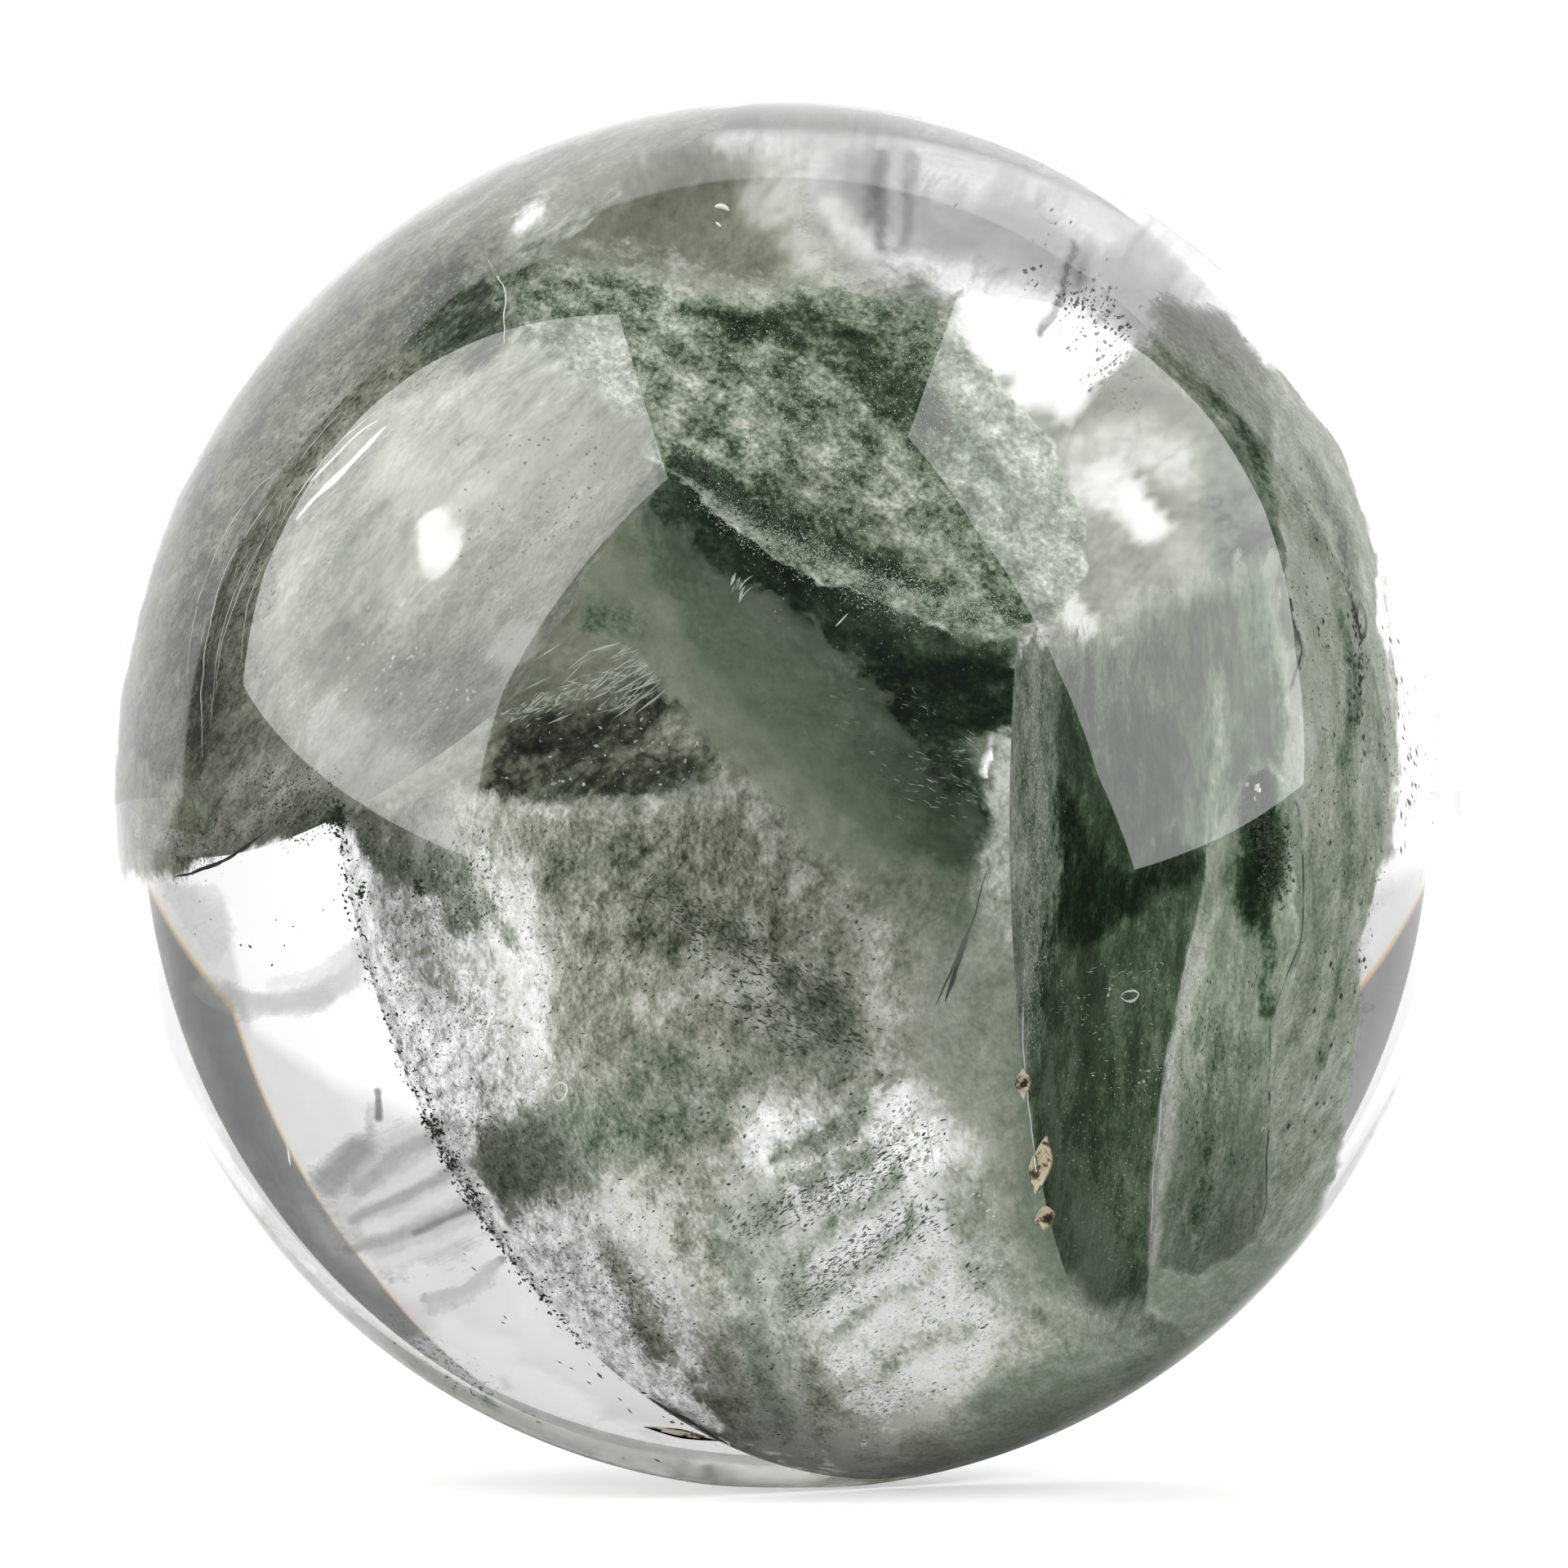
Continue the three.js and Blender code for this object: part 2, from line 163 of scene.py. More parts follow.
# Strokes of the growth on each sheet: kind, cover, greenness, milkiness, warmth, strength, softness,
# path on the sheet
MAIN_PHANTOM_STROKES = [
    ("fill", 0.92, 0.25, 0.15, 0.7, 1, 0.53, [
        (-24, -0.42), (-16.75, -0.35), (-11.26, -0.3), (-8.63, -0.39), (-6.27, -0.47), (-2.72, 0.06),
        (-1, 0.25), (1.59, -0.58), (3.8, -1.19), (4.18, -2.91), (4.69, -5.26), (4.74, -7.43),
        (4.85, -9.75), (5.23, -12.69), (4.35, -16.05), (2.63, -17.63), (-0.55, -20.23), (-4.82, -23.29),
        (-9.87, -21.87), (-14.04, -19.47), (-17.12, -16.82), (-18.95, -14.72), (-20.51, -12.47),
        (-21.74, -10.17), (-22.66, -7.92), (-23.2, -6.16), (-23.64, -4.13), (-23.93, -1.79)]),
    ("fill", 0.97, 0.44, 0.9, 0.1, 1, 0.21, [
        (2.83, -2.32), (3.61, -1.9), (4.11, -0.34), (4.63, 1.27), (5.46, 2.67), (7.05, 2.37), (8.38, 2.15),
        (9.6, 1.94), (11.01, 2.38), (12.02, 2.01), (12.12, 0.74), (11.86, -1.2), (11.49, -2.74),
        (11.21, -4.61), (11, -6.08), (10.68, -7.43), (10.34, -8.61), (9.02, -10.7), (7.49, -12.69),
        (5.51, -14.9), (2.63, -17.63), (2.93, -16.16), (2.48, -11.91), (2.32, -9.39), (2.23, -7.16),
        (2.11, -4.64)]),
    ("fill", 0.97, 0.13, 0.2, 0.2, 0.9, 0.14, [
        (5.46, 2.67), (5.9, 2.43), (6.17, 0.93), (6, -0.56), (5.63, -2.08), (4.56, -3.05), (3.92, -2.6),
        (3.71, -1.9), (4.11, -0.34), (4.63, 1.27)]),
    ("fill", 0.95, 0.28, 0.75, 0.5, 0.9, 0.64, [
        (1.94, -2.68), (3.43, -2.46), (4.44, -3.21), (4.37, -4.64), (4.31, -6.1), (4.38, -8.62),
        (4.58, -11.28), (3.16, -12.01), (2.34, -10.45), (1.58, -9.03), (1.53, -7.5), (1.5, -6.03),
        (1.72, -4.33)]),
    ("line", 0.96, 0.3, 0.8, 0.1, 0.8, 0.48, [(3.82, -2.61), (3.15, -3.92), (2.75, -5.42)]),
    ("fill", 0.53, -0.1, 0.15, 0.5, 0.95, 1.01, [
        (-20.35, -0.76), (-16.2, -0.92), (-12.9, -1.08), (-8.92, -1.78), (-9.02, -3.72), (-9.17, -5.72),
        (-11.44, -9.03), (-17.89, -10.33), (-18.89, -7.65), (-20.2, -5.08), (-20.18, -2.9)]),
    ("fill", 0.42, -0.16, 0.1, 0.8, 0.95, 1.48, [
        (-15.21, -11.59), (-11.31, -10.31), (-8.17, -9.36), (-5.97, -11.67), (-6.69, -15.89),
        (-12.03, -20.43), (-13.24, -17.5), (-14.87, -15.49)]),
    ("fill", 0.38, -0.2, 0.3, 0.5, 0.85, 0.95, [
        (-20.05, -0.76), (-16.38, -1.58), (-15.76, -3.31), (-15.23, -5.04), (-14.42, -6.98),
        (-13.71, -8.97), (-16.16, -10.74), (-17.87, -8.23), (-18.5, -6.23), (-19.29, -4.27)]),
    ("line", 0.38, -0.2, 0.3, 0.6, 0.8, 0.94, [
        (-16.16, -10.74), (-13.78, -13.19), (-11.43, -15.23), (-8.89, -16.39), (-7.21, -17.79)]),
    ("line", 0.42, -0.1, 0.1, 0.5, 0.9, 1.17, [(-11.06, -3.24), (-10.28, -5.42)]),
    ("line", 0.46, -0.1, 0.1, 0.5, 0.85, 1.09, [(-14.5, -4.75), (-13.62, -6.42)]),
    ("line", 0.48, -0.1, 0.1, 0.5, 0.8, 1.13, [(-17.51, -7.43), (-15.91, -8.64)]),
    ("line", 0.8, 0.1, 0.5, 0, 0.6, 1.6, [(-16.79, -2.93), (-15.15, -4.81)]),
    ("line", 0.88, 0.34, 0.1, 0.1, 0.7, 0.6, [(-13.66, -3.29), (-12.18, -2.69), (-11.42, -3.26)]),
    ("line", 0.93, 0.42, 0.1, 0.2, 0.7, 0.78, [(-17.78, -1.4), (-14.72, -1.96), (-13.18, -2.22)]),
    ("fill", 0.95, 0.36, 0.05, 0.85, 0.9, 0.85, [
        (-9.72, -1.03), (-6.62, -0.8), (-3.85, -0.6), (-1.34, -1.94), (0.7, -3.72), (-0.16, -4.96),
        (-1.57, -4.19), (-3.05, -3.39), (-6.99, -4.17), (-9.21, -3.14)]),
    ("line", 0.95, 0.46, 0.1, 0.8, 0.75, 0.55, [
        (-4.98, -2.49), (-3.53, -3.24), (-1.64, -3.85), (0.15, -4.43)]),
    ("line", 0.95, 0.42, 0, 0.7, 0.7, 0.4, [(-5.93, -3.17), (-4.96, -3.86), (-4.54, -4.47)]),
    ("line", 0.95, 0.42, 0, 0.7, 0.7, 0.37, [(-2.5, -4.6), (-0.84, -4.84), (0.38, -5.18)]),
    ("line", 0.96, 0.48, 0.1, 0.5, 0.6, 0.6, [(-8.29, -1.76), (-6.47, -1.53), (-5.43, -1.96)]),
    ("line", 0.92, 0.08, 0.2, 1, 0.6, 0.69, [(-4.42, -3.82), (-2.19, -4.23)]),
    ("line", 0.86, 0.05, 0.2, 1, 0.7, 0.69, [(-6.29, -4.97), (-4.67, -5.22)]),
    ("line", 0.9, 0.26, 0.2, 0.9, 0.7, 0.95, [(-9.17, -5.72), (-6.22, -6.02), (-3.39, -5.39)]),
    ("line", 0.92, 0.1, 0.3, 1, 0.6, 0.58, [(0.94, -2.38), (1.17, -3.86), (0.74, -5.41)]),
    ("line", 0.94, 0.4, 0.35, 0.1, 0.7, 1.48, [(-13.57, -10.21), (-8.51, -8.23), (-4.95, -6.66)]),
    ("line", 0.95, 0.36, 0.35, 0.3, 0.6, 0.84, [(-4.95, -6.66), (-1.94, -5.72), (0, -5.47)]),
    ("line", 0.95, 0.48, 0.2, 0, 0.45, 0.73, [(-12.58, -10.2), (-10, -8.9), (-7.55, -8.08)]),
    ("line", 0.8, 0.14, 0, 0.9, 0.75, 0.95, [(-9.09, -11.78), (-8.27, -13.28), (-8.33, -14.63)]),
    ("line", 0.86, 0.2, 0.1, 0.6, 0.6, 0.79, [(-6.17, -9.88), (-5.66, -11.6)]),
    ("fill", 0.38, -0.2, 0.15, 0.4, 0.95, 0.73, [
        (-2.93, -7.2), (-0.51, -6.62), (1.71, -6.1), (2.87, -7.09), (3.73, -9.08), (3.83, -11.42),
        (2.46, -13.47), (-0.68, -15.66), (-2.05, -13.2), (-2.11, -10.86), (-4.01, -8.9)]),
    ("line", 0.38, -0.1, 0.1, 0.3, 0.85, 0.91, [(-0.05, -9.28), (0.34, -11.02), (-0.74, -13.13)]),
    ("line", 0.8, 0.26, 0.3, 0, 0.8, 0.29, [(-4.58, -10.46), (-1.89, -8.59), (0.21, -7.3)]),
    ("line", 0.8, 0.26, 0.3, 0, 0.8, 0.29, [(-3.63, -11.27), (-1.03, -9.43), (1.03, -8.01)]),
    ("line", 0.78, 0.24, 0.3, 0, 0.75, 0.29, [(-2.24, -11.78), (-0.17, -10.29), (1.38, -8.88)]),
    ("line", 0.93, 0.4, 0.1, 0.2, 0.75, 0.23, [(-2.34, -8.27), (-0.99, -7.44), (0.55, -6.47)]),
    ("line", 0.82, 0.22, 0.3, 0.3, 0.7, 0.33, [(-1.74, -12.86), (0.05, -11.52), (1.92, -10.12)]),
    ("line", 0.82, 0.22, 0.3, 0.3, 0.7, 0.34, [(-1.09, -14.06), (0.81, -12.51), (2.5, -11.46)]),
    ("line", 0.88, 0.08, 0.5, 0, 0.85, 1.39, [
        (-3.44, -9.42), (-3.78, -12.12), (-3.66, -15.51), (-4.7, -20.45)]),
    ("line", 0.95, 0.34, 0.5, 0, 0.7, 0.68, [(-4.37, -10.86), (-4.12, -13.22), (-3.96, -16.39)]),
    ("line", 0.7, -0.15, 0.3, 0.9, 0.85, 2.6, [(-7.8, -22.7), (-2.77, -18.99), (1.78, -15.69)]),
    ("line", 0.92, 0.3, 0.5, 0.2, 0.7, 1.01, [(2.96, -8.29), (3.46, -9.86), (5.1, -10.97)]),
    ("line", 0.88, 0.12, 0.2, 0.7, 0.8, 0.96, [(3.83, -11.64), (5.51, -10.79), (7.08, -10.03)]),
    ("line", 0.96, 0.4, 0.8, 0.1, 0.8, 2.72, [
        (1.99, -18.18), (4.33, -14.69), (6.4, -12.63), (7.65, -10.6), (8.89, -9.01)]),
    ("line", 0.4, KEEP, 0, 0.5, 0.75, 0.38, RAGGED_EDGE),
]
UPPER_LEFT_VEIL_STROKES = [
    ("fill", 0.92, 0.47, 0.45, 0.9, 1, 0.5, [
        (-6.45, -15.29), (-0.65, -14.87), (2.55, -14.16), (4.01, -13.72), (7.01, -14.7), (12.36, -15.29),
        (14.41, -13.5), (13.4, -11.58), (11.46, -9.19), (10.99, -6.88), (11.38, -3.44), (11.55, -1.14),
        (9.24, 0.81), (5.22, 1.55), (1.92, 2.24), (-0.37, 4.31), (-1.58, 6.38), (-1.69, 8.93),
        (0.44, 11.73), (-1.36, 10.85), (-2.44, 9.81), (-4.25, 7.74), (-5.61, 5.72), (-6.6, 3.8),
        (-7.43, 1.52), (-7.99, -1.02), (-8.22, -3.78), (-8.19, -5.91), (-7.95, -8.49), (-7.4, -11.59)]),
    ("fill", 0.94, 0.29, 0.6, 0.75, 0.95, 0.76, [
        (-0.52, -7.31), (-1.47, -4.61), (-1.26, -2.55), (-1.2, -0.52), (0.15, 0.89), (1.39, 2.38),
        (4.56, 2.25), (7.58, 0.97), (10.8, -0.38), (10.79, -4.06), (11.1, -7.45), (13.32, -11.58),
        (13.82, -13.82), (12.01, -14.78), (5.51, -12.2), (0.98, -9.12)]),
    ("line", 0.94, 0.28, 0.9, 0.8, 0.8, 1.05, [(3.29, -5.38), (4.23, -2.74), (6.57, -0.66), (8.72, 0.17)]),
    ("line", 0.94, 0.47, 0.5, 0.5, 0.8, 1.73, [(2.89, -6.69), (4.89, -8.5), (6, -7.1), (9.05, -8.67)]),
    ("line", 0.94, 0.38, 0.5, 0.5, 0.75, 1.22, [(0.48, -4.76), (0.87, -2.28)]),
    ("line", 0.92, 0.16, 0.9, 0.9, 0.8, 0.86, [(0.13, -1.36), (3.4, -2.56), (5.31, -1.6), (6.77, -0.1)]),
    ("line", 0.92, 0.06, 0.8, 0.3, 0.8, 1.46, [(4.03, -9.9), (6.64, -11.02), (12.02, -12.52)]),
    ("line", 0.94, 0.12, 0.8, 0.3, 0.8, 1.27, [(5.9, -11.61), (10.41, -12.52), (12.91, -13.16)]),
    ("line", 0.94, 0.27, 0.8, 0.5, 0.7, 1.19, [(5.31, -0.81), (9.46, -1.4)]),
    ("line", 0.72, -0.3, 1, 0.4, 0.9, 0.58, [(3.64, -3.18), (4.89, -4.11)]),
    ("line", 0.6, -0.1, 1, 0.3, 0.85, 0.7, [(9.2, -6.46), (10.41, -6.91)]),
    ("line", 0.95, 0.62, 0.2, 0.9, 0.75, 0.85, [
        (-6.88, -1.59), (-5.39, -4.42), (-3.8, -7.34), (-1.63, -9.94)]),
    ("line", 0.95, 0.54, 0.3, 0.9, 0.7, 0.82, [(-5.37, -0.27), (-3.82, 1.4), (-2.26, 2.51)]),
    ("line", 0.96, 0.66, 0.1, 0.3, 0.9, 0.92, [(-1.82, 3.57), (-0.16, 2.66), (0.92, 2.19)]),
    ("line", 0.96, 0.6, 0.1, 0.2, 0.7, 0.59, [(-2.22, 2.64), (-0.5, 1.98)]),
    ("line", 0.85, 0.2, 0.2, 0.9, 0.9, 1.57, [(-3.81, -12.81), (-0.02, -12.35), (3, -11.91)]),
    ("line", 0.88, 0.22, 0.2, 0.9, 0.8, 1.09, [(-2.26, -14.05), (1.34, -13.4), (2.7, -12.8)]),
    ("line", 0.93, 0.4, 0.1, 0.6, 0.8, 0.7, [(5.02, -12.35), (6.46, -13.12), (7.64, -14.39)]),
    ("line", 0.9, 0.36, 0.6, 0.5, 0.8, 1.77, [(-2.79, 6.23), (-1.23, 8.56), (0.5, 10.98)]),
    ("line", 0.92, 0.38, 0.3, 0.5, 0.7, 0.87, [(-0.28, 5.15), (0.7, 6.83)]),
]
LOW_LEFT_VEIL_STROKES = [
    ("fill", 0.26, 0.2, 1, 0.3, 0.9, 0.12, [
        (-11.76, -1.2), (-10.65, -1.2), (-10.35, -1.96), (-10.71, -2.86), (-11.23, -2.26)]),
    ("line", 0.44, 0.22, 1, 0.8, 1, 0.38, [
        (-10.92, -3.09), (-10.11, -3.4), (-9.24, -3.34), (-8.53, -2.95), (-8.22, -2.43)]),
    ("line", 0.55, 0.34, 1, 0.6, 0.8, 0.21, [(-10.54, -3.19), (-9.67, -3.4), (-8.88, -3.24)]),
    ("line", 0.3, 0.05, 1, 0.6, 0.8, 0.17, [(-9.8, -2.95), (-9.02, -2.87), (-8.46, -2.5)]),
    ("fill", 0.46, 0.24, 1, 0.4, 0.9, 0.48, [
        (-9.29, -6.93), (-8.44, -5.77), (-7.12, -5.33), (-6.25, -6.45), (-5.75, -7.75), (-6.61, -8.41),
        (-8.07, -8.82), (-8.98, -8.16)]),
    ("line", 0.7, 0.5, 1, 0.2, 0.85, 0.38, [(-8.92, -6.75), (-8.3, -6.09)]),
    ("line", 0.6, 0.44, 1, 0.2, 0.8, 0.21, [(-8.35, -6.9), (-7.57, -6.18), (-6.54, -5.69)]),
    ("line", 0.2, 0.05, 1, 0.4, 0.8, 0.17, [(-8.22, -7.23), (-7.28, -6.55), (-6.4, -6.13)]),
    ("line", 0.66, 0.46, 1, 0.3, 0.85, 0.14, [(-8.56, -7.58), (-7.45, -6.98), (-6.33, -6.45)]),
    ("line", 0.15, 0.05, 1, 0.4, 0.8, 0.16, [(-8.27, -7.83), (-7.16, -7.23), (-6.11, -6.77)]),
    ("line", 0.62, 0.42, 1, 0.3, 0.85, 0.16, [(-8.66, -8.31), (-7.33, -7.73), (-5.97, -7.19)]),
    ("line", 0.8, 0.58, 1, 0.3, 0.9, 0.08, [(-7.41, -7.83), (-6.72, -7.53), (-6.09, -7.25)]),
    ("line", 0.12, 0.05, 1, 0.4, 0.8, 0.14, [(-8.03, -8.53), (-6.89, -7.98), (-5.9, -7.65)]),
    ("line", 0.5, 0.4, 1, 0.3, 0.8, 0.15, [(-7.32, -9.34), (-6.49, -8.94), (-5.77, -8.42)]),
    ("line", 0.7, 0.55, 1, 0.3, 0.9, 0.11, [(-6.01, -8.62), (-5.73, -8.42)]),
    ("line", 0.36, 0.26, 1, 0.2, 0.8, 0.27, [(-7.18, -9.53), (-6.5, -9.12), (-5.94, -8.56)]),
    ("line", 0.8, 0.9, 1, 0, 0.9, 0.1, [(-7.95, -4.97), (-7.92, -5.44)]),
    ("line", 0.7, 0.25, 0.9, 1, 0.7, 0.11, [(-8.1, -5.23), (-8.07, -5.75)]),
]
BACK_VEIL_STROKES = [
    ("fill", 0.62, 0.36, 1, 0.3, 1, 0.32, [
        (0.59, 10.53), (1.47, 10.46), (2.33, 10.3), (3.34, 9.99), (4.28, 9.55), (5.24, 9.01), (6.12, 8.32),
        (6.78, 7.69), (5.79, 7.8), (4.71, 8.39), (3.6, 8.95), (1.92, 9.37), (1.23, 10.06)]),
    ("fill", 0.92, 0.4, 0.8, 1, 1, 0.27, [
        (-4.71, 8.12), (-4.12, 8.95), (-3.5, 9.66), (-2.67, 10.04), (-1.83, 10.31), (-0.24, 10.54),
        (0.58, 10.48), (1.18, 9.95), (2.04, 9.07), (3.42, 8.47), (3.54, 7.04), (3.64, 5.49), (4.02, 4.48),
        (4.39, 3.46), (4.11, 2.44), (3.81, 1.4), (4.3, -0.44), (2.91, 0.04), (1.49, 0.53), (0.06, 1.02),
        (-1.38, 0.98), (-2.82, 0.95), (-4.25, 0.91), (-4.21, 2.24), (-4.15, 3.55), (-3.61, 4.58),
        (-3.07, 5.59), (-3.94, 6.92)]),
    ("fill", 0.92, 0.16, 0.7, 0.4, 1, 0.23, [
        (-5.93, 2.51), (-4.82, 2.57), (-3.69, 2.63), (-3.48, 1.44), (-3.76, 0.37), (-4.53, 0.11),
        (-6.01, 0.79)]),
    ("line", 0.95, 0.32, 0.8, 0.6, 0.9, 0.37, [(-3.18, 9.38), (-2.45, 9.81), (-1.51, 10.16)]),
    ("line", 0.82, 0.02, 0.9, 0.7, 0.9, 0.46, [(0.68, 9.97), (1.24, 9.41), (2.05, 8.87)]),
    ("line", 0.5, 0.08, 0.9, 0.5, 0.8, 0.27, [(1.57, 9.76), (2.26, 9.16), (3.07, 8.6)]),
    ("line", 0.9, 0.35, 0.8, 1, 0.8, 0.59, [(-2.41, 3.67), (-1.4, 4.06), (-0.54, 3.27)]),
    ("fill", 0.98, 0.62, 0.05, 0.9, 1, 0.21, [
        (-3.86, 1.33), (-3.63, 2.43), (-3.18, 2.89), (-2.43, 2.78), (-1.67, 3.07), (-0.92, 2.85),
        (-0.42, 2.48), (0.13, 1.75), (-0.19, 1.4), (-1.72, 1.1), (-2.48, 1.1)]),
    ("line", 0.96, 0.26, 0.1, 0.6, 0.8, 0.36, [(-1.19, 2.22), (-0.56, 1.82), (-0.19, 1.56)]),
    ("line", 0.97, 0.74, 0, 0.8, 0.8, 0.28, [(-3.21, 2.23), (-2.46, 1.97), (-1.82, 2.23)]),
    ("line", 0.95, 0.42, 0.2, 0.5, 0.7, 0.16, [(-3.61, 1.24), (-2.22, 1.23), (-0.44, 1.32)]),
    ("line", 0.95, 0.64, 0.5, 0, 0.9, 0.33, [(-2.08, 4.21), (-1.52, 3.99)]),
    ("line", 0.95, 0.74, 0.3, 0, 0.8, 0.15, [(-1.95, 4.38), (-1.33, 4.18), (-1.28, 3.86)]),
    ("fill", 0.9, 0.4, 0.8, 0.7, 1, 0.28, [
        (3.08, 8.5), (4.01, 7.79), (5.13, 7.46), (5.66, 8.01), (6.58, 7.46), (7.39, 6.71), (8.1, 5.57),
        (8.57, 4.21), (8.69, 3.17), (8.77, 2.09), (7.79, 2.37), (6.72, 2.65), (5, 2.68), (4.27, 3.72),
        (4.11, 5.47), (3.6, 7.04)]),
    ("line", 0.84, 0.02, 0.9, 0.5, 0.85, 0.5, [(5.21, 6.36), (5.97, 6.3), (6.64, 5.79)]),
    ("line", 0.92, 0.14, 0.8, 1, 0.8, 0.39, [(6.4, 4.75), (6.69, 3.4)]),
    ("line", 0.95, 0.6, 0.6, 0, 0.9, 0.36, [(7.33, 5.71), (7.62, 4.32), (7.83, 2.74)]),
    ("line", 0.95, 0.54, 0.5, 0, 0.8, 0.36, [(6.95, 6.41), (7.15, 4.59)]),
    ("line", 0.9, 0.2, 0.6, 0.8, 0.8, 0.33, [(5.37, 5.65), (5.3, 4.69), (5.55, 3.94)]),
    ("line", 0.93, 0.46, 0.8, 0.1, 0.8, 0.43, [(5.8, 3.05), (6.16, 2.41)]),
    ("line", 0.62, -0.3, 1, 0.2, 0.95, 0.25, [(5.77, 5.48), (5.92, 5.19)]),
    ("line", 0.72, -0.3, 1, 0.2, 0.85, 0.22, [(4.79, 4.08), (5.1, 3.64)]),
    ("line", 0.7, -0.1, 1, 0.2, 0.8, 0.3, [(5.35, 5.89), (5.71, 5.39)]),
    ("line", 0.22, -0.1, 1, 0.2, 1, 0.36, [(3.7, 8.3), (4.33, 8.03), (4.93, 7.81)]),
    ("line", 0.5, -0.1, 1, 0.2, 0.85, 0.38, [(4.26, 7.45), (4.83, 7.18)]),
    ("line", 0.8, 0.2, 0.6, 0.9, 0.8, 0.34, [(3.47, 7.5), (4.07, 6.66)]),
    ("line", 0.8, 0.56, 1, 0.1, 0.9, 0.07, [(2.15, 10.27), (2.18, 9.87), (2.26, 9.3)]),
    ("line", 0.62, 0.5, 1, 0.1, 0.9, 0.06, [(2.61, 10.17), (2.57, 9.76), (2.53, 9.24)]),
    ("line", 0.5, 0.22, 1, 1, 0.8, 0.06, [(2.38, 10.21), (2.41, 9.34)]),
    ("line", 0.85, 0.6, 1, 0.2, 0.9, 0.05, [(4.71, 9.05), (4.67, 8.49), (4.48, 8.05)]),
    ("line", 0.6, 0.4, 0.6, 1, 0.8, 0.1, [(2.66, 8.97), (3.01, 8.77)]),
]
# Dark chlorite under the sugary ledge: partly its own dark green, partly painted shade of the overhanging
# ledge, down to near black
SHADED_GREEN_MASS_STROKES = [
    ("fill", 0.99, 0.6, 0.6, 0, 1, 0.44, [
        (-3.04, 7.23), (-1.24, 5.6), (-0.02, 4.88), (1.18, 4.18), (2.78, 3.49), (4.38, 2.81), (4.37, 2.64),
        (3.77, 1.16), (3.45, -0.59), (3.17, -2.29), (1.41, -1.9), (-0.2, -0.33), (-1.78, 1.73),
        (-3.04, 3.97), (-3.46, 5.87)]),
    ("line", 0.97, 0.52, 0.9, 0.1, 0.8, 0.77, [(-1.69, 3.42), (-0.58, 2.05), (0.37, 1.02)]),
    ("line", 0.98, 0.7, 0.6, 0, 0.85, 0.6, [(-0.34, 3.55), (0.96, 2.86), (1.93, 2.51)]),
    ("line", 0.98, 0.64, 0.6, 0, 0.7, 0.68, [(-2.11, 5.12), (-1.16, 3.91)]),
    ("line", 1.1, 0.9, 0.25, 0, 0.9, 1.09, [(1.89, 1.68), (3.02, 1.33), (3.76, 1.49)]),
    ("line", 1.1, 1, 0.2, 0, 0.9, 0.43, [(2.41, 2.25), (3.38, 2.08), (4.11, 2.12)]),
    ("line", 1.1, 0.86, 0.25, 0, 0.85, 0.93, [(1.67, 0.34), (2.78, -0.85)]),
    ("line", 1, 0.86, 0.5, 0, 0.85, 0.44, [(-2.22, 6.4), (-1.26, 5.26), (-0.3, 4.39), (1.32, 3.6)]),
    ("line", 0.98, 0.72, 0.6, 0, 0.8, 0.44, [(1.45, -1.01), (2.59, -1.7)]),
]
MILKY_BAND_STROKES = [
    ("line", 0.42, 0.48, 1, 0.2, 1, 2.03, [
        (-6.82, 6.5), (-5.06, 5.03), (-3.41, 3.66), (-2.03, 2.45), (-0.68, 1.26), (1.03, -0.85)]),
    ("line", 0.92, 0.36, 1, 0.9, 0.8, 0.93, [(-8.6, 6.84), (-6.32, 5.48), (-4.19, 3.68)]),
    ("line", 0.88, 0.42, 1, 0.5, 0.75, 1.1, [(-4.19, 3.68), (-1.99, 1.63), (0.11, -0.33)]),
    ("line", 0.72, 0.48, 1, 0.3, 0.7, 0.89, [(-0.26, -0.15), (1.05, -1.38), (1.8, -2.24)]),
    ("line", 0.6, 0.46, 1, 0.1, 0.8, 1.18, [(-3.45, 4.41), (-1.86, 3.08), (-0.34, 1.97)]),
    ("line", 0.86, 0.36, 1, 0.8, 0.5, 0.37, [(-4.42, 2.76), (-3.34, 2.01), (-2.54, 1.19)]),
    ("line", 0.82, 0.52, 0.4, 0, 0.65, 0.67, [(-6.36, 4.56), (-5.73, 4.41)]),
]
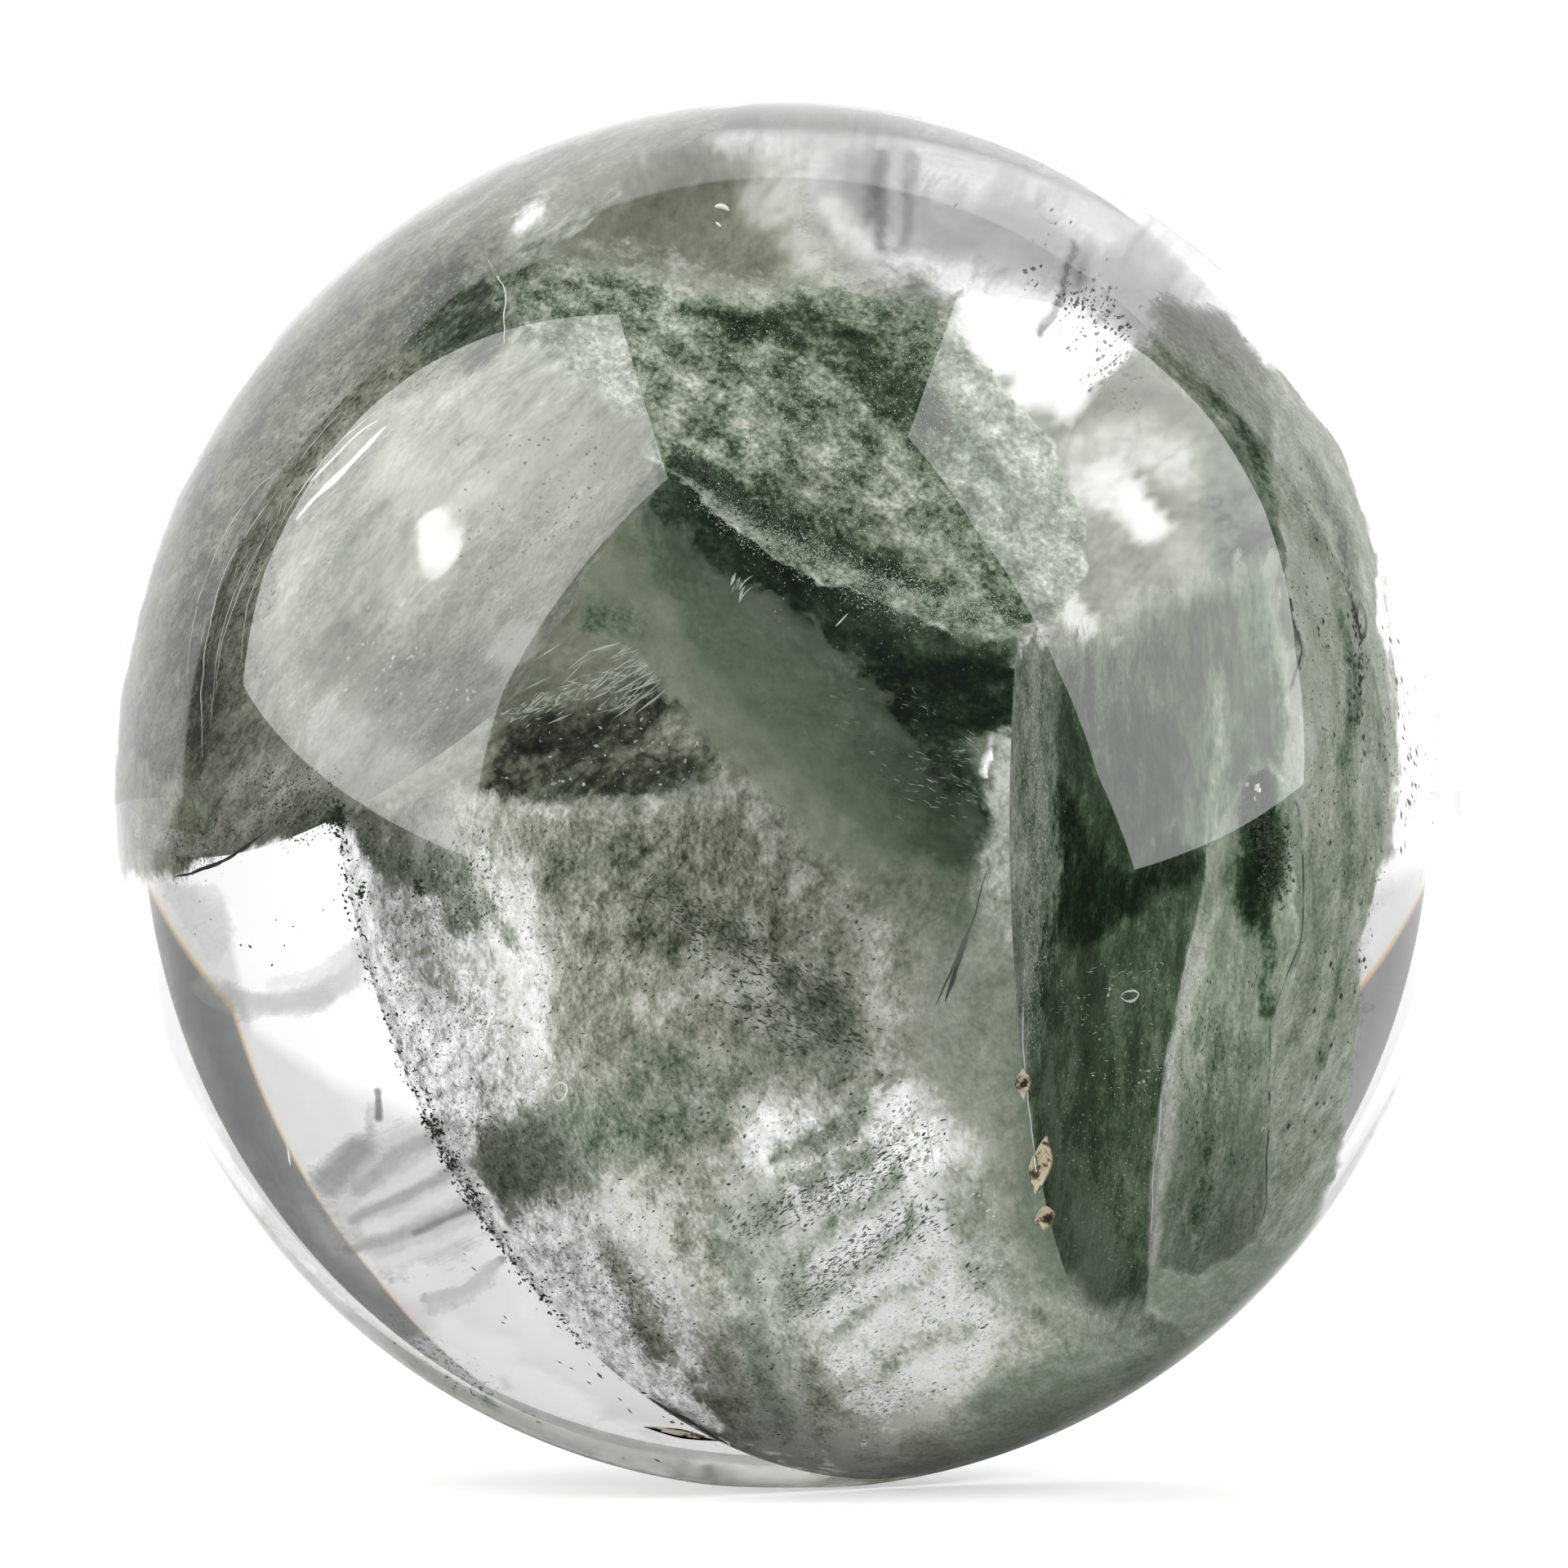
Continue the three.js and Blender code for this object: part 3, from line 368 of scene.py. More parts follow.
SUGARY_LEDGE_STROKES = [
    ("fill", 0.98, 0.46, 0.05, 0.2, 1, 0.19, [
        (-7.41, 8.66), (-5.4, 8.29), (-3.85, 7.99), (-2.76, 7.28), (-1.68, 6.9), (0.89, 7.02),
        (2.35, 6.97), (3.35, 5.66), (4.68, 3.3), (5.82, 1.14), (5.96, -0.64), (5.23, -1.79), (4.1, -2.49),
        (2.35, -1.86), (0.48, -1.22), (-1.49, -0.12), (-2.53, 0.98), (-3.6, 2.43), (-5.04, 3.52),
        (-6.54, 4.49), (-7.18, 5.99)]),
    ("line", 0.97, 0.34, 0, 0.4, 0.85, 1.01, [(-4.83, 5.54), (-2.52, 3.81), (-0.22, 2.41), (1.54, 1.08)]),
    ("line", 0.96, 0.24, 0, 0.1, 0.8, 0.42, [(-6.46, 7.82), (-4.51, 7.01), (-2.7, 5.92), (-1.29, 5.06)]),
    ("line", 0.97, 0.72, 0.2, 0.2, 0.9, 0.92, [(-1.92, 6.31), (-0.3, 5.9), (1.62, 4.66), (2.44, 3.26)]),
    ("line", 0.97, 0.46, 0.05, 0.4, 0.8, 0.61, [(-6.23, 8.15), (-5.06, 7.44), (-3.51, 7.36)]),
    ("line", 0.97, 0.48, 0.1, 0.4, 0.7, 0.52, [(-0.09, 3.93), (1.63, 2.39), (3.02, 0.64)]),
    ("line", 0.98, 0.72, 0.05, 0, 0.85, 0.41, [(-3.45, 2.4), (-2.53, 1.69), (-1.68, 0.69)]),
    ("line", 0.97, 0.72, 0.05, 0.2, 0.85, 0.61, [(-1.24, 1.34), (0.34, 0.03), (2.36, -0.92)]),
    ("line", 0.97, 0.42, 0.3, 0.6, 0.7, 0.57, [(-0.64, 1.77), (0.76, 0.64), (2.02, -0.25)]),
    ("line", 0.97, 0.36, 0.1, 0, 0.8, 0.33, [
        (-2.72, 1.34), (-1.62, 0.33), (0.18, -0.64), (2.19, -1.32), (4.05, -1.94)]),
    ("line", 0.55, 0.2, 0.4, 0.5, 0.7, 0.69, [
        (-7.41, 8.83), (-5.39, 8.45), (-3.83, 8.14), (-1.66, 7.08), (0.9, 7.15), (2.36, 7.06),
        (3.36, 5.88)]),
    ("line", 0.97, 0.42, 0, 0, 0.7, 0.21, [(1.03, -0.96), (2.52, -1.48), (4.06, -1.69)]),
    ("line", 0.95, 0.22, 0.1, 0.2, 0.8, 0.54, [(-6.86, 5.33), (-4.95, 4.42), (-3.93, 3)]),
    ("line", 0.93, 0.26, 0.1, 0.3, 0.8, 0.82, [(3.61, 4.14), (4.59, 1.54), (5.27, -0.66)]),
    ("line", 0.95, 0.4, 0.1, 0.1, 0.7, 0.41, [(2.81, 3.26), (3.83, 1.53), (4.5, -0.23)]),
]
SEAM_WALL_STROKES = [
    ("fill", 0.97, 0.58, 0.7, 0.1, 1, 0.98, [
        (-13.51, 4.28), (-8.5, 4.42), (-4.52, 5.19), (0.18, 5.2), (0.67, 2.75), (1.34, 0.4), (1.45, -2),
        (1.78, -4.41), (2.46, -6.91), (4.44, -9.76), (2.15, -11.81), (0.18, -14.42), (-6.71, -14.13),
        (-9.9, -13.51), (-12, -12.15), (-14.19, -8.51), (-15.67, -5.02), (-16.01, -2.71), (-16.26, -0.42),
        (-15.41, 1.86)]),
    ("fill", 0.99, 0.7, 0.6, 0, 0.9, 0.64, [
        (-12.42, 2.23), (-5.2, 2.02), (-4.74, -0.34), (-8.02, -1.8), (-11.23, -1.24), (-11.85, 0.48)]),
    ("line", 0.96, 0.44, 0.3, 0.1, 0.8, 0.69, [(-2.95, 2.72), (-2.78, 0.8), (-3.38, -1.1)]),
    ("fill", 0.99, 0.9, 0.2, 0, 0.95, 0.31, [
        (-14.39, -4.13), (-11.42, -3.87), (-6.97, -2.49), (-3.84, -1.38), (-5.18, -0.74), (-8.01, -1.9),
        (-10.69, -1.02), (-12.41, 0.48), (-13.26, -0.4), (-12.85, -2.59)]),
    ("line", 0.98, 0.96, 0, 0, 0.8, 0.59, [(-10.54, -3.16), (-7, -2.18)]),
    ("line", 0.97, 0.7, 0.7, 0.1, 0.9, 1.37, [(-9.84, -4.63), (-8.97, -6.76), (-9.42, -9.63)]),
    ("line", 0.97, 0.46, 0.9, 0.1, 0.85, 1.49, [(-9.84, -10.19), (-7.61, -13.06)]),
    ("line", 0.97, 0.5, 0.9, 0.1, 0.8, 0.63, [(-12.42, -8.06), (-11.13, -10.9), (-9.54, -12.85)]),
    ("line", 0.96, 0.22, 0, 0.1, 0.85, 0.9, [
        (-14.61, 4.12), (-14.67, 2.07), (-14.65, 0.04), (-14.57, -1.87), (-14.42, -3.79), (-14.63, -7.09)]),
    ("fill", 0.97, 0.26, 0.3, 0.1, 0.85, 0.38, [
        (-17.15, 4.25), (-12.94, 4.03), (-12.88, 0.7), (-13.21, -1.5), (-14.35, -4.47), (-15.51, -7.17),
        (-16.88, -4.63), (-16.93, -2.51), (-16.91, -0.42), (-17.07, 1.9)]),
    ("line", 0.97, 0.46, 0, 0.1, 0.7, 0.51, [
        (-13.12, 1.81), (-12.92, -1.49), (-13.15, -4.4), (-13.41, -6.97)]),
    ("line", 0.5, KEEP, KEEP, KEEP, 0.6, 1.85, [(-9.81, -15.13), (-5.71, -15.71), (-3.25, -13.46)]),
    ("fill", 0, 0.3, 0.5, 0.1, 1, 0.22, [
        (-3.95, -1.69), (-2.55, -0.52), (-1.34, 0.51), (2.76, 0.47), (3.04, -1.88), (3.57, -4.24),
        (4.63, -6.7), (5.36, -9.12), (3.83, -11.59), (1.75, -14.43), (-3.78, -13.55), (-5.27, -9.75),
        (-5.42, -7.49), (-4.99, -5.35), (-4.11, -3.07)]),
    ("line", 0.95, 0.2, 0, 0.1, 0.9, 0.2, [
        (-16.01, -0.41), (-15.79, -3.86), (-14.97, -7.36), (-13.38, -10.19), (-12.18, -12.18)]),
]
INNER_CURTAIN_STROKES = [
    ("fill", 0.96, 0.38, 0.6, 0.1, 1, 0.2, [
        (-0.4, -2.17), (1.03, -1.03), (1.49, -0.29), (3.64, -0.3), (3.6, -1.97), (3.62, -3.66),
        (2.68, -5.73), (3.04, -8.23), (3.73, -11.72), (1.54, -12.89), (-1.27, -12.85), (-1.68, -10.27),
        (-1.64, -8.02), (-1.23, -5.93), (-0.48, -3.71)]),
    ("line", 0.95, 0.2, 0.8, 0.2, 0.9, 0.8, [(0.57, -1.22), (0.06, -2.92), (-0.41, -4.48)]),
    ("line", 0.95, 0.08, 0.4, 0.2, 0.9, 0.71, [
        (-0.24, -3.7), (-0.74, -5.9), (-1.19, -8.42), (-1.2, -10.34), (-1.03, -12.49)]),
    ("line", 0.96, 0.24, 0.3, 0.2, 0.7, 0.48, [(0.41, -2.73), (0.13, -4.85), (-0.33, -7.5)]),
    ("line", 0.98, 0.92, 0, 0, 0.95, 0.91, [(2.32, -0.66), (2.42, -1.94), (2.13, -2.69)]),
    ("line", 0.98, 0.7, 0, 0, 0.8, 0.28, [(2.7, -2.49), (2.72, -3.79), (2.36, -5.33)]),
    ("line", 0.97, 0.46, 0.1, 0.2, 0.8, 0.62, [(0.77, -5.8), (0.72, -8.48), (0.97, -11.26)]),
    ("line", 0.97, 0.42, 0.3, 0.1, 0.7, 0.35, [(1.6, -4.79), (1.54, -7.58), (1.85, -10.71)]),
    ("line", 0.97, 0.26, 0, 0, 0.7, 0.24, [(-0.16, -10.85), (0.77, -11.8), (1.6, -12.59)]),
]
RIGHT_RIM_VEIL_STROKES = [
    ("fill", 0.93, 0.42, 0.5, 0.5, 1, 0.84, [
        (-8.66, 12.13), (-5.06, 14.14), (-2.18, 13.27), (-2.14, 10.94), (-4.33, 8.21), (-6.51, 6.21),
        (-6.32, 8.06), (-7.6, 10.16)]),
    ("line", 0.96, 0.58, 0.2, 0.1, 0.8, 0.61, [(-6.73, 10.07), (-6.08, 8.87), (-6.7, 7.28)]),
    ("fill", 0.93, 0.2, 0.6, 0.1, 1, 0.28, [
        (-1.73, 11.53), (-0.82, 10.05), (-0.1, 8.71), (-0.83, 6.27), (-2.48, 3.05), (-2.95, -0.29),
        (-3.8, -3.81), (-3.97, -6.44), (-2.43, -9.9), (-0.72, -12.53), (1.43, -15.39), (-2.01, -16.07),
        (-6.14, -11.91), (-8.07, -8.7), (-7.62, -6.04), (-8.13, -2.19), (-8.75, -1.16), (-8.46, 0.88),
        (-7.04, 2.2), (-7.36, 3.28), (-6.55, 5.19), (-6.35, 6.46), (-5.89, 7.95)]),
    ("fill", 0.97, 0.13, 0.9, 0.1, 0.95, 0.22, [
        (-6.22, 6.59), (-5.03, 4.85), (-5.11, 3.17), (-6.25, 0.79), (-7.93, -1.6), (-8.58, -0.85),
        (-8.4, 0.83), (-7.04, 2.2), (-7.36, 3.28)]),
    ("line", 0.6, 0.08, 0.3, 0.9, 0.9, 0.45, [
        (-0.98, 5.01), (-2.06, 2.08), (-2.75, -0.76), (-3.31, -3.58)]),
    ("line", 0.34, 0.3, 0.9, 0.4, 0.8, 0.45, [(1.77, 6.04), (1.57, 3.54), (0.58, 0.64)]),
    ("line", 0.42, 0.38, 0.8, 0.3, 0.8, 0.29, [(0.55, 4.02), (0.05, 2.07), (1.74, -1.01)]),
    ("line", 0.3, 0.34, 0.9, 0.3, 0.8, 0.37, [(-2.5, -1.71), (-0.94, -2.89), (-0.8, -4.31)]),
    ("line", 0.96, 0.44, 0.3, 0.3, 0.8, 0.53, [(-3.32, 8.16), (-3.14, 6.05), (-3.54, 4.06)]),
    ("line", 0.94, 0.42, 0.4, 0.1, 0.7, 0.4, [(-5.8, -2.6), (-5.58, -6.19), (-4.6, -9.91)]),
    ("line", 0.94, 0.28, 0.5, 0.2, 0.7, 0.44, [(-7.44, -2.57), (-6.98, -5.46), (-6.57, -8.91)]),
    ("line", 0.96, 0.48, 0.1, 0.2, 0.7, 0.3, [(-4.67, 3.11), (-5.09, 1.19), (-6.17, -0.93)]),
]
LEFT_RIM_VEIL_STROKES = [
    ("fill", 0.93, 0.44, 0.5, 0.8, 1, 0.61, [
        (-4.67, 0.05), (-0.6, 0.03), (3.5, -1.25), (3.95, -2.54), (1.94, -3.35), (-1.94, -3.55),
        (-4.64, -3.44), (-4.67, -1.6)]),
    ("line", 0.93, 0.42, 0.2, 0.9, 0.7, 0.43, [(-2.01, -2.56), (2.07, -2.78), (3.66, -2.31)]),
]
TOP_HAZE_STROKES = [
    ("fill", 0.42, 0.42, 1, 0.3, 1, 1.21, [
        (-3.17, 5.93), (-0.13, 7.36), (2.2, 7.12), (5.02, 6.46), (8.76, 5.28), (10.39, 1.67),
        (8.17, -2.15), (4.96, -2.59), (2.87, -2.05), (0.32, -1.62), (-2, -2.52), (-3.56, -0.97),
        (-4.08, 1.79)]),
    ("line", 0.5, 0.4, 1, 0.1, 0.8, 1.12, [(7.65, 2.97), (9.19, 1.3), (9.98, -0.92)]),
    ("line", 0.1, 0.1, 1, 0.2, 0.9, 0.64, [(-2.72, 3.21), (-2.67, 1.08)]),
    ("line", 0.74, 0.6, 1, 0.1, 0.9, 0.27, [(-0.01, 6.35), (-1.2, 3.45), (-1.9, 0.89)]),
    ("line", 0.62, 0.54, 1, 0.1, 0.9, 0.24, [(1.02, 6.11), (-0.45, 2.95), (-1.45, 0.62)]),
    ("line", 0.4, 0.1, 1, 0.9, 0.8, 0.25, [(0.41, 6.06), (-1.55, 1.09)]),
    ("line", 0.85, 0.62, 1, 0.2, 0.95, 0.16, [(4.48, 1.66), (3.06, -1.18), (1.91, -2.88)]),
    ("line", 0.6, 0.5, 0.8, 0.6, 0.8, 0.27, [(-1.47, -0.48), (-0.97, -1.03)]),
]

# Growth sheets: a flat one has the direction it faces and a point that it runs through, a shell has its
# share of the ball's radius, the direction of its middle and its reach in degrees; then the direction in
# which its patterns run
SHEETS = {
    "main_phantom": {
        "normal": (0.719, -0.678, 0.151), "through": (-8.21, -12.54, -11.03), "run": (0.49, 0.65, 0.58),
        "strokes": MAIN_PHANTOM_STROKES,
    },
    "upper_left_veil": {
        "normal": (-0.657, -0.394, 0.643), "through": (-15.5, -12.5, -1.9), "run": (0.65, 0.14, 0.75),
        "strokes": UPPER_LEFT_VEIL_STROKES,
    },
    "low_left_veil": {
        "normal": (-0.25, -0.95, 0.1), "through": (-8, 4, -8), "small": True,
        "wander": 0.3, "run": (0.85, 0.1, 0.5),
        "strokes": LOW_LEFT_VEIL_STROKES,
    },
    "back_veil": {
        "normal": (0.1, -0.985, 0.14), "through": (0, 8.5, 0), "run": (0.88, 0.15, 0.45),
        "strokes": BACK_VEIL_STROKES,
    },
    "green_mass": {
        "normal": (0.25, -0.95, 0.2), "through": (2, -1, 2), "small": True, "run": (0.92, 0.17, -0.36),
        "strokes": SHADED_GREEN_MASS_STROKES,
    },
    "milky_band": {
        "normal": (0.35, -0.93, -0.1), "through": (-1, -5.5, 2.5), "small": True,
        "run": (0.66, 0.32, -0.68),
        "strokes": MILKY_BAND_STROKES,
    },
    "sugary_ledge": {
        "normal": (0.12, -0.8, 0.58), "through": (1.8, -8, 5), "small": True, "run": (0.83, -0.24, -0.5),
        "strokes": SUGARY_LEDGE_STROKES,
    },
    "seam_wall": {
        "normal": (0.962, -0.273, -0.01), "through": (6.63, -17.19, -6.78), "run": (0, 0, 1),
        "strokes": SEAM_WALL_STROKES,
    },
    "inner_curtain": {
        "normal": (0.85, -0.52, 0.05), "through": (9.5, -6, -7), "small": True, "run": (0.05, 0.17, 0.98),
        "strokes": INNER_CURTAIN_STROKES,
    },
    "right_rim_veil": {
        "facing": (0.93, -0.3, 0.1), "share": 0.955, "reach": 66, "run": (0, 0, 1),
        "strokes": RIGHT_RIM_VEIL_STROKES,
    },
    "left_rim_veil": {
        "facing": (-0.93, -0.36, 0.05), "share": 0.955, "reach": 40, "small": True, "run": (0.1, 0, 1),
        "strokes": LEFT_RIM_VEIL_STROKES,
    },
    "top_haze": {
        "facing": (0.25, -0.6, 0.76), "share": 0.955, "reach": 62, "wander": 0.4, "run": (0.9, 0.1, -0.2),
        "strokes": TOP_HAZE_STROKES,
    },
}

# Grains: sheet, kind, tone, count, smallest and largest size, stretch, turn in degrees, spread, depth,
# path
GRAINS = [
    ("main_phantom", "line", "dark", 1000, 0.025, 0.085, 1.4, None, 0.34, 0.3, RAGGED_EDGE),
    ("main_phantom", "line", "dark", 80, 0.03, 0.09, 1.3, None, 0.33, 0.3, [
        (-17.21, -9.54), (-16.81, -9.72)]),
    ("main_phantom", "line", "dark", 90, 0.03, 0.09, 1.3, None, 0.38, 0.3, [
        (-16.62, -10.53), (-16.22, -10.86)]),
    ("main_phantom", "line", "dark", 80, 0.03, 0.09, 1.3, None, 0.38, 0.3, [
        (-15.95, -11.45), (-15.51, -11.67)]),
    ("main_phantom", "line", "dark", 420, 0.04, 0.1, 1.3, None, 0.33, 0.3, [
        (-20.15, -0.52), (-19.58, -0.94)]),
    ("main_phantom", "line", "dark", 40, 0.04, 0.1, 1.3, None, 0.22, 0.2, [
        (-15.42, -2.46), (-15.38, -2.64)]),
    ("main_phantom", "line", "dark", 30, 0.04, 0.1, 1.3, None, 0.25, 0.2, [
        (-18.63, -2.76), (-18.53, -2.94)]),
    ("main_phantom", "fill", "dark", 3600, 0.015, 0.045, 2.2, 30, 0, 0.35, [
        (-19.18, -0.74), (-13.98, -0.68), (-9.97, -0.64), (-6.03, -0.71), (-2.61, -0.77), (-0.59, -1.67),
        (1.31, -2.53), (1.55, -4.01), (1.78, -5.5), (2.45, -7.13), (3.12, -8.8), (3.43, -10.45),
        (3.84, -12.36), (0.96, -14.63), (-2.73, -18.57), (-7.62, -17.98), (-9.72, -16.16),
        (-12.03, -14.78), (-13.96, -12.66), (-16.16, -10.74), (-17.12, -8.73), (-18.24, -6.8),
        (-18.55, -3.73)]),
    ("main_phantom", "line", "dark", 900, 0.016, 0.04, 3.5, -20, 0.64, 0.3, [
        (-5.51, -2.42), (-3.05, -3.39), (0.15, -4.43)]),
    ("main_phantom", "line", "dark", 420, 0.016, 0.04, 3.5, -13, 0.46, 0.3, [
        (-3.26, -4.66), (0.49, -5.26)]),
    ("main_phantom", "line", "dark", 350, 0.018, 0.05, 1.3, None, 1.17, 0.3, [
        (-9.22, -11.44), (-8.38, -14.8)]),
    ("main_phantom", "line", "dark", 500, 0.018, 0.045, 1.3, None, 0.87, 0.3, [
        (-11.76, -2.47), (-15.16, -3.49)]),
    ("main_phantom", "line", "green", 900, 0.014, 0.035, 4, 30, 0.49, 0.3, [
        (-4.25, -10.18), (1.07, -7.65)]),
    ("main_phantom", "line", "green", 800, 0.014, 0.035, 4, 32, 0.5, 0.3, [(-2.93, -11.93), (1.85, -8.63)]),
    ("main_phantom", "fill", "pale", 3500, 0.018, 0.045, 2, 32, 0, 0.35, [
        (-3.62, -6.71), (-0.84, -6.43), (1.7, -6.18), (2.73, -7.45), (3.76, -8.71), (3.54, -10.43),
        (3.39, -12.45), (1.35, -14.03), (-1, -16.19), (-2.27, -13.81), (-3.49, -12.05), (-3.54, -9.23)]),
    ("main_phantom", "fill", "pale", 2000, 0.018, 0.04, 1.5, None, 0, 0.35, [
        (-18.63, -0.74), (-13.78, -0.68), (-9.97, -0.64), (-9.51, -3.06), (-9.12, -5.51), (-10.91, -7.28),
        (-13.04, -9.32), (-17.06, -8.59), (-17.36, -5.88), (-17.88, -3.3)]),
    ("sugary_ledge", "fill", "pale", 12000, 0.008, 0.02, 1.5, None, 0, 0.5, LEDGE_OUTLINE),
    ("sugary_ledge", "fill", "dark", 5000, 0.01, 0.026, 1.5, None, 0, 0.5, LEDGE_OUTLINE),
    ("sugary_ledge", "line", "pale", 7000, 0.008, 0.022, 1.5, None, 0.45, 0.3, [
        (-2.71, 1.43), (-1.59, 0.42), (0.18, -0.59), (2.19, -1.28), (4.08, -1.94)]),
    ("sugary_ledge", "line", "dark", 1800, 0.02, 0.05, 1.5, None, 0.29, 0.3, [
        (-3.48, 2.53), (-2.53, 1.69), (-1.49, 0.68)]),
    ("seam_wall", "line", "pale", 2400, 0.01, 0.028, 1.5, -87, 0.67, 0.3, [
        (-14.64, 3.43), (-14.65, 0.04), (-14.42, -3.79), (-14.72, -7.34)]),
    ("seam_wall", "fill", "pale", 110, 0.02, 0.06, 1.2, None, 0, 1.5, [
        (-12.69, -4.37), (-5.38, -3.93), (-4.86, -7), (-12.13, -8.03)]),
    ("seam_wall", "fill", "pale", 220, 0.01, 0.016, 10, 8, 0, 1.5, [
        (-13.87, -4.44), (-5.85, -3.96), (-6.29, -7.15), (-13.02, -8.13), (-13.49, -6.27)]),
    ("seam_wall", "fill", "pale", 900, 0.012, 0.028, 1.5, None, 0, 1.5, [
        (-13.32, -8.16), (-6.29, -7.15), (-5.86, -9.72), (-4.94, -12.56), (-9.9, -13.51), (-11.79, -10.74)]),
    ("inner_curtain", "line", "pale", 3600, 0.012, 0.034, 2, -102, 0.31, 0.3, [
        (-0.3, -3.51), (-0.98, -5.92), (-1.43, -8.22), (-1.18, -12.64)]),
    ("inner_curtain", "fill", "dark", 500, 0.012, 0.03, 3, -95, 0, 0.4, [
        (-0.47, -4.88), (2.43, -3.8), (2.58, -6.2), (3.01, -8.78), (2.94, -11.71), (-0.12, -12.41),
        (-0.65, -10.06), (-0.91, -7.96)]),
    ("inner_curtain", "line", "dark", 1600, 0.02, 0.06, 1.5, None, 0.41, 0.4, [
        (1.61, -0.84), (2.71, -1.76), (2.56, -2.87)]),
    ("inner_curtain", "line", "pale", 14, 0.07, 0.13, 1, None, 0.21, 0.3, [(1.71, 0.08), (1.9, -0.56)]),
    ("back_veil", "fill", "pale", 200, 0.012, 0.04, 1.4, None, 0, 1.5, [
        (-3.69, 2.63), (-2.69, 2.76), (-1.68, 2.89), (-0.8, 2.35), (0.07, 1.82), (-0.19, 1.36),
        (-1.9, 1.33), (-3.61, 1.31)]),
    ("back_veil", "fill", "pale", 120, 0.014, 0.022, 16, 29, 0, 1.5, [
        (-3.28, 3.55), (-2.28, 3.61), (-1.28, 3.67), (-1.18, 2.75), (-2.45, 2.23), (-3.45, 2.5)]),
    ("back_veil", "line", "pale", 380, 0.012, 0.024, 5, 29, 0.15, 1, [
        (-3.45, 2.5), (-2.43, 2.89), (-1.29, 3.34)]),
    ("upper_left_veil", "fill", "pale", 120, 0.04, 0.1, 1.2, None, 0, 0.6, [
        (2.19, -6.2), (5.67, -5.77), (9.24, -5.29), (10.7, -7.9), (12.18, -10.67), (8.38, -10.27),
        (4.76, -9.89)]),
    ("upper_left_veil", "fill", "dark", 240, 0.02, 0.06, 1.5, None, 0, 0.6, [
        (2.84, -1.1), (5.5, -0.26), (8.25, 0.66), (9.36, -1.69), (10.44, -4.09), (7.59, -5.94),
        (5.16, -3.44)]),
    ("upper_left_veil", "fill", "dark", 2600, 0.018, 0.045, 1.5, None, 0, 0.4, [
        (-5.53, -11.61), (0.72, -11.33), (5.52, -11.03), (8.67, -14.72), (3.68, -13.88), (-0.41, -14.81),
        (-4.9, -14.98)]),
    ("upper_left_veil", "fill", "dark", 2600, 0.018, 0.045, 2.5, 72, 0, 0.4, [
        (-7.62, -2.44), (-5.23, -0.62), (-3.82, 1.4), (-2.07, 2.65), (-0.48, 4.03), (1.5, 2.27),
        (0.2, 0.84), (-1.2, -0.52), (-1.26, -2.55), (-1.47, -4.61), (-0.16, -7.17), (1.09, -9.93),
        (-1.2, -10.77), (-3.05, -7.84), (-5.02, -5.14)]),
    ("upper_left_veil", "line", "pale", 260, 0.01, 0.025, 1.6, 84, 0.37, 0.3, [
        (-1.84, 4.08), (-1.89, 2.8), (-1.5, 1.86)]),
    ("upper_left_veil", "line", "pale", 320, 0.01, 0.02, 14, 58, 0.24, 0.3, [
        (-1.45, -3.4), (-0.62, -2.03), (-0.03, -0.7)]),
    ("upper_left_veil", "line", "pale", 150, 0.008, 0.014, 20, 98, 0.44, 0.4, [
        (-1.54, -9.94), (-2.77, -7.09), (-2.98, -4.65), (-2.49, -2.98)]),
    ("upper_left_veil", "line", "pale", 120, 0.01, 0.018, 12, 66, 0.44, 0.4, [(9.38, -6.68), (9.7, -5.82)]),
    ("upper_left_veil", "line", "dark", 260, 0.03, 0.08, 1.6, None, 0.26, 0.3, [
        (4.58, -14.42), (6.96, -14.96), (9.07, -16.07)]),
    ("low_left_veil", "fill", "dark", 12, 0.02, 0.05, 1.2, None, 0, 2, [
        (-11.88, -1.31), (-10.13, -1.34), (-8.53, -1.39), (-8.25, -3.63), (-9.53, -3.31), (-10.84, -3.01)]),
    ("low_left_veil", "fill", "dark", 26, 0.02, 0.05, 3, -47, 0, 2, [
        (-6.63, -8.76), (-5.43, -9.48), (-4.4, -10.65), (-3.35, -11.98), (-4.63, -11.52), (-5.63, -10.05)]),
    ("back_veil", "line", "dark", 120, 0.012, 0.04, 1.3, None, 0.27, 0.6, [(4.89, 8.39), (5.46, 8.04)]),
    ("back_veil", "line", "dark", 170, 0.012, 0.04, 1.3, None, 0.29, 0.6, [(5.25, 7.78), (5.74, 7.09)]),
    ("back_veil", "fill", "dark", 70, 0.015, 0.04, 1.3, None, 0, 0.8, [
        (3.07, 9.77), (4.5, 9.35), (5.25, 8.61), (5.99, 7.76), (5.54, 6.34), (5.08, 7.38), (4.61, 8.35),
        (3.84, 9.1)]),
    ("right_rim_veil", "line", "dark", 200, 0.04, 0.1, 1.6, -114, 0.24, 0.3, [
        (-3.14, 6.05), (-4.08, 3.58), (-4.67, 1.17), (-5.38, 0)]),
    ("right_rim_veil", "fill", "dark", 260, 0.03, 0.09, 1.4, -87, 0, 0.4, [
        (-3.84, 8.18), (-1.98, 6.03), (-2.73, 4.04), (-2.99, 2.09), (-3.38, -1.46), (-4.05, -5),
        (-3.41, -8.64), (-2.99, -11.2), (-1.56, -13.91), (-4.88, -12.56), (-6.91, -8.66), (-7.56, -4.97),
        (-7.83, -2.56), (-7.68, -0.17), (-7.13, 2.56), (-5.95, 5.32)]),
    ("right_rim_veil", "fill", "dark", 60, 0.03, 0.08, 1.4, None, 0, 0.4, [
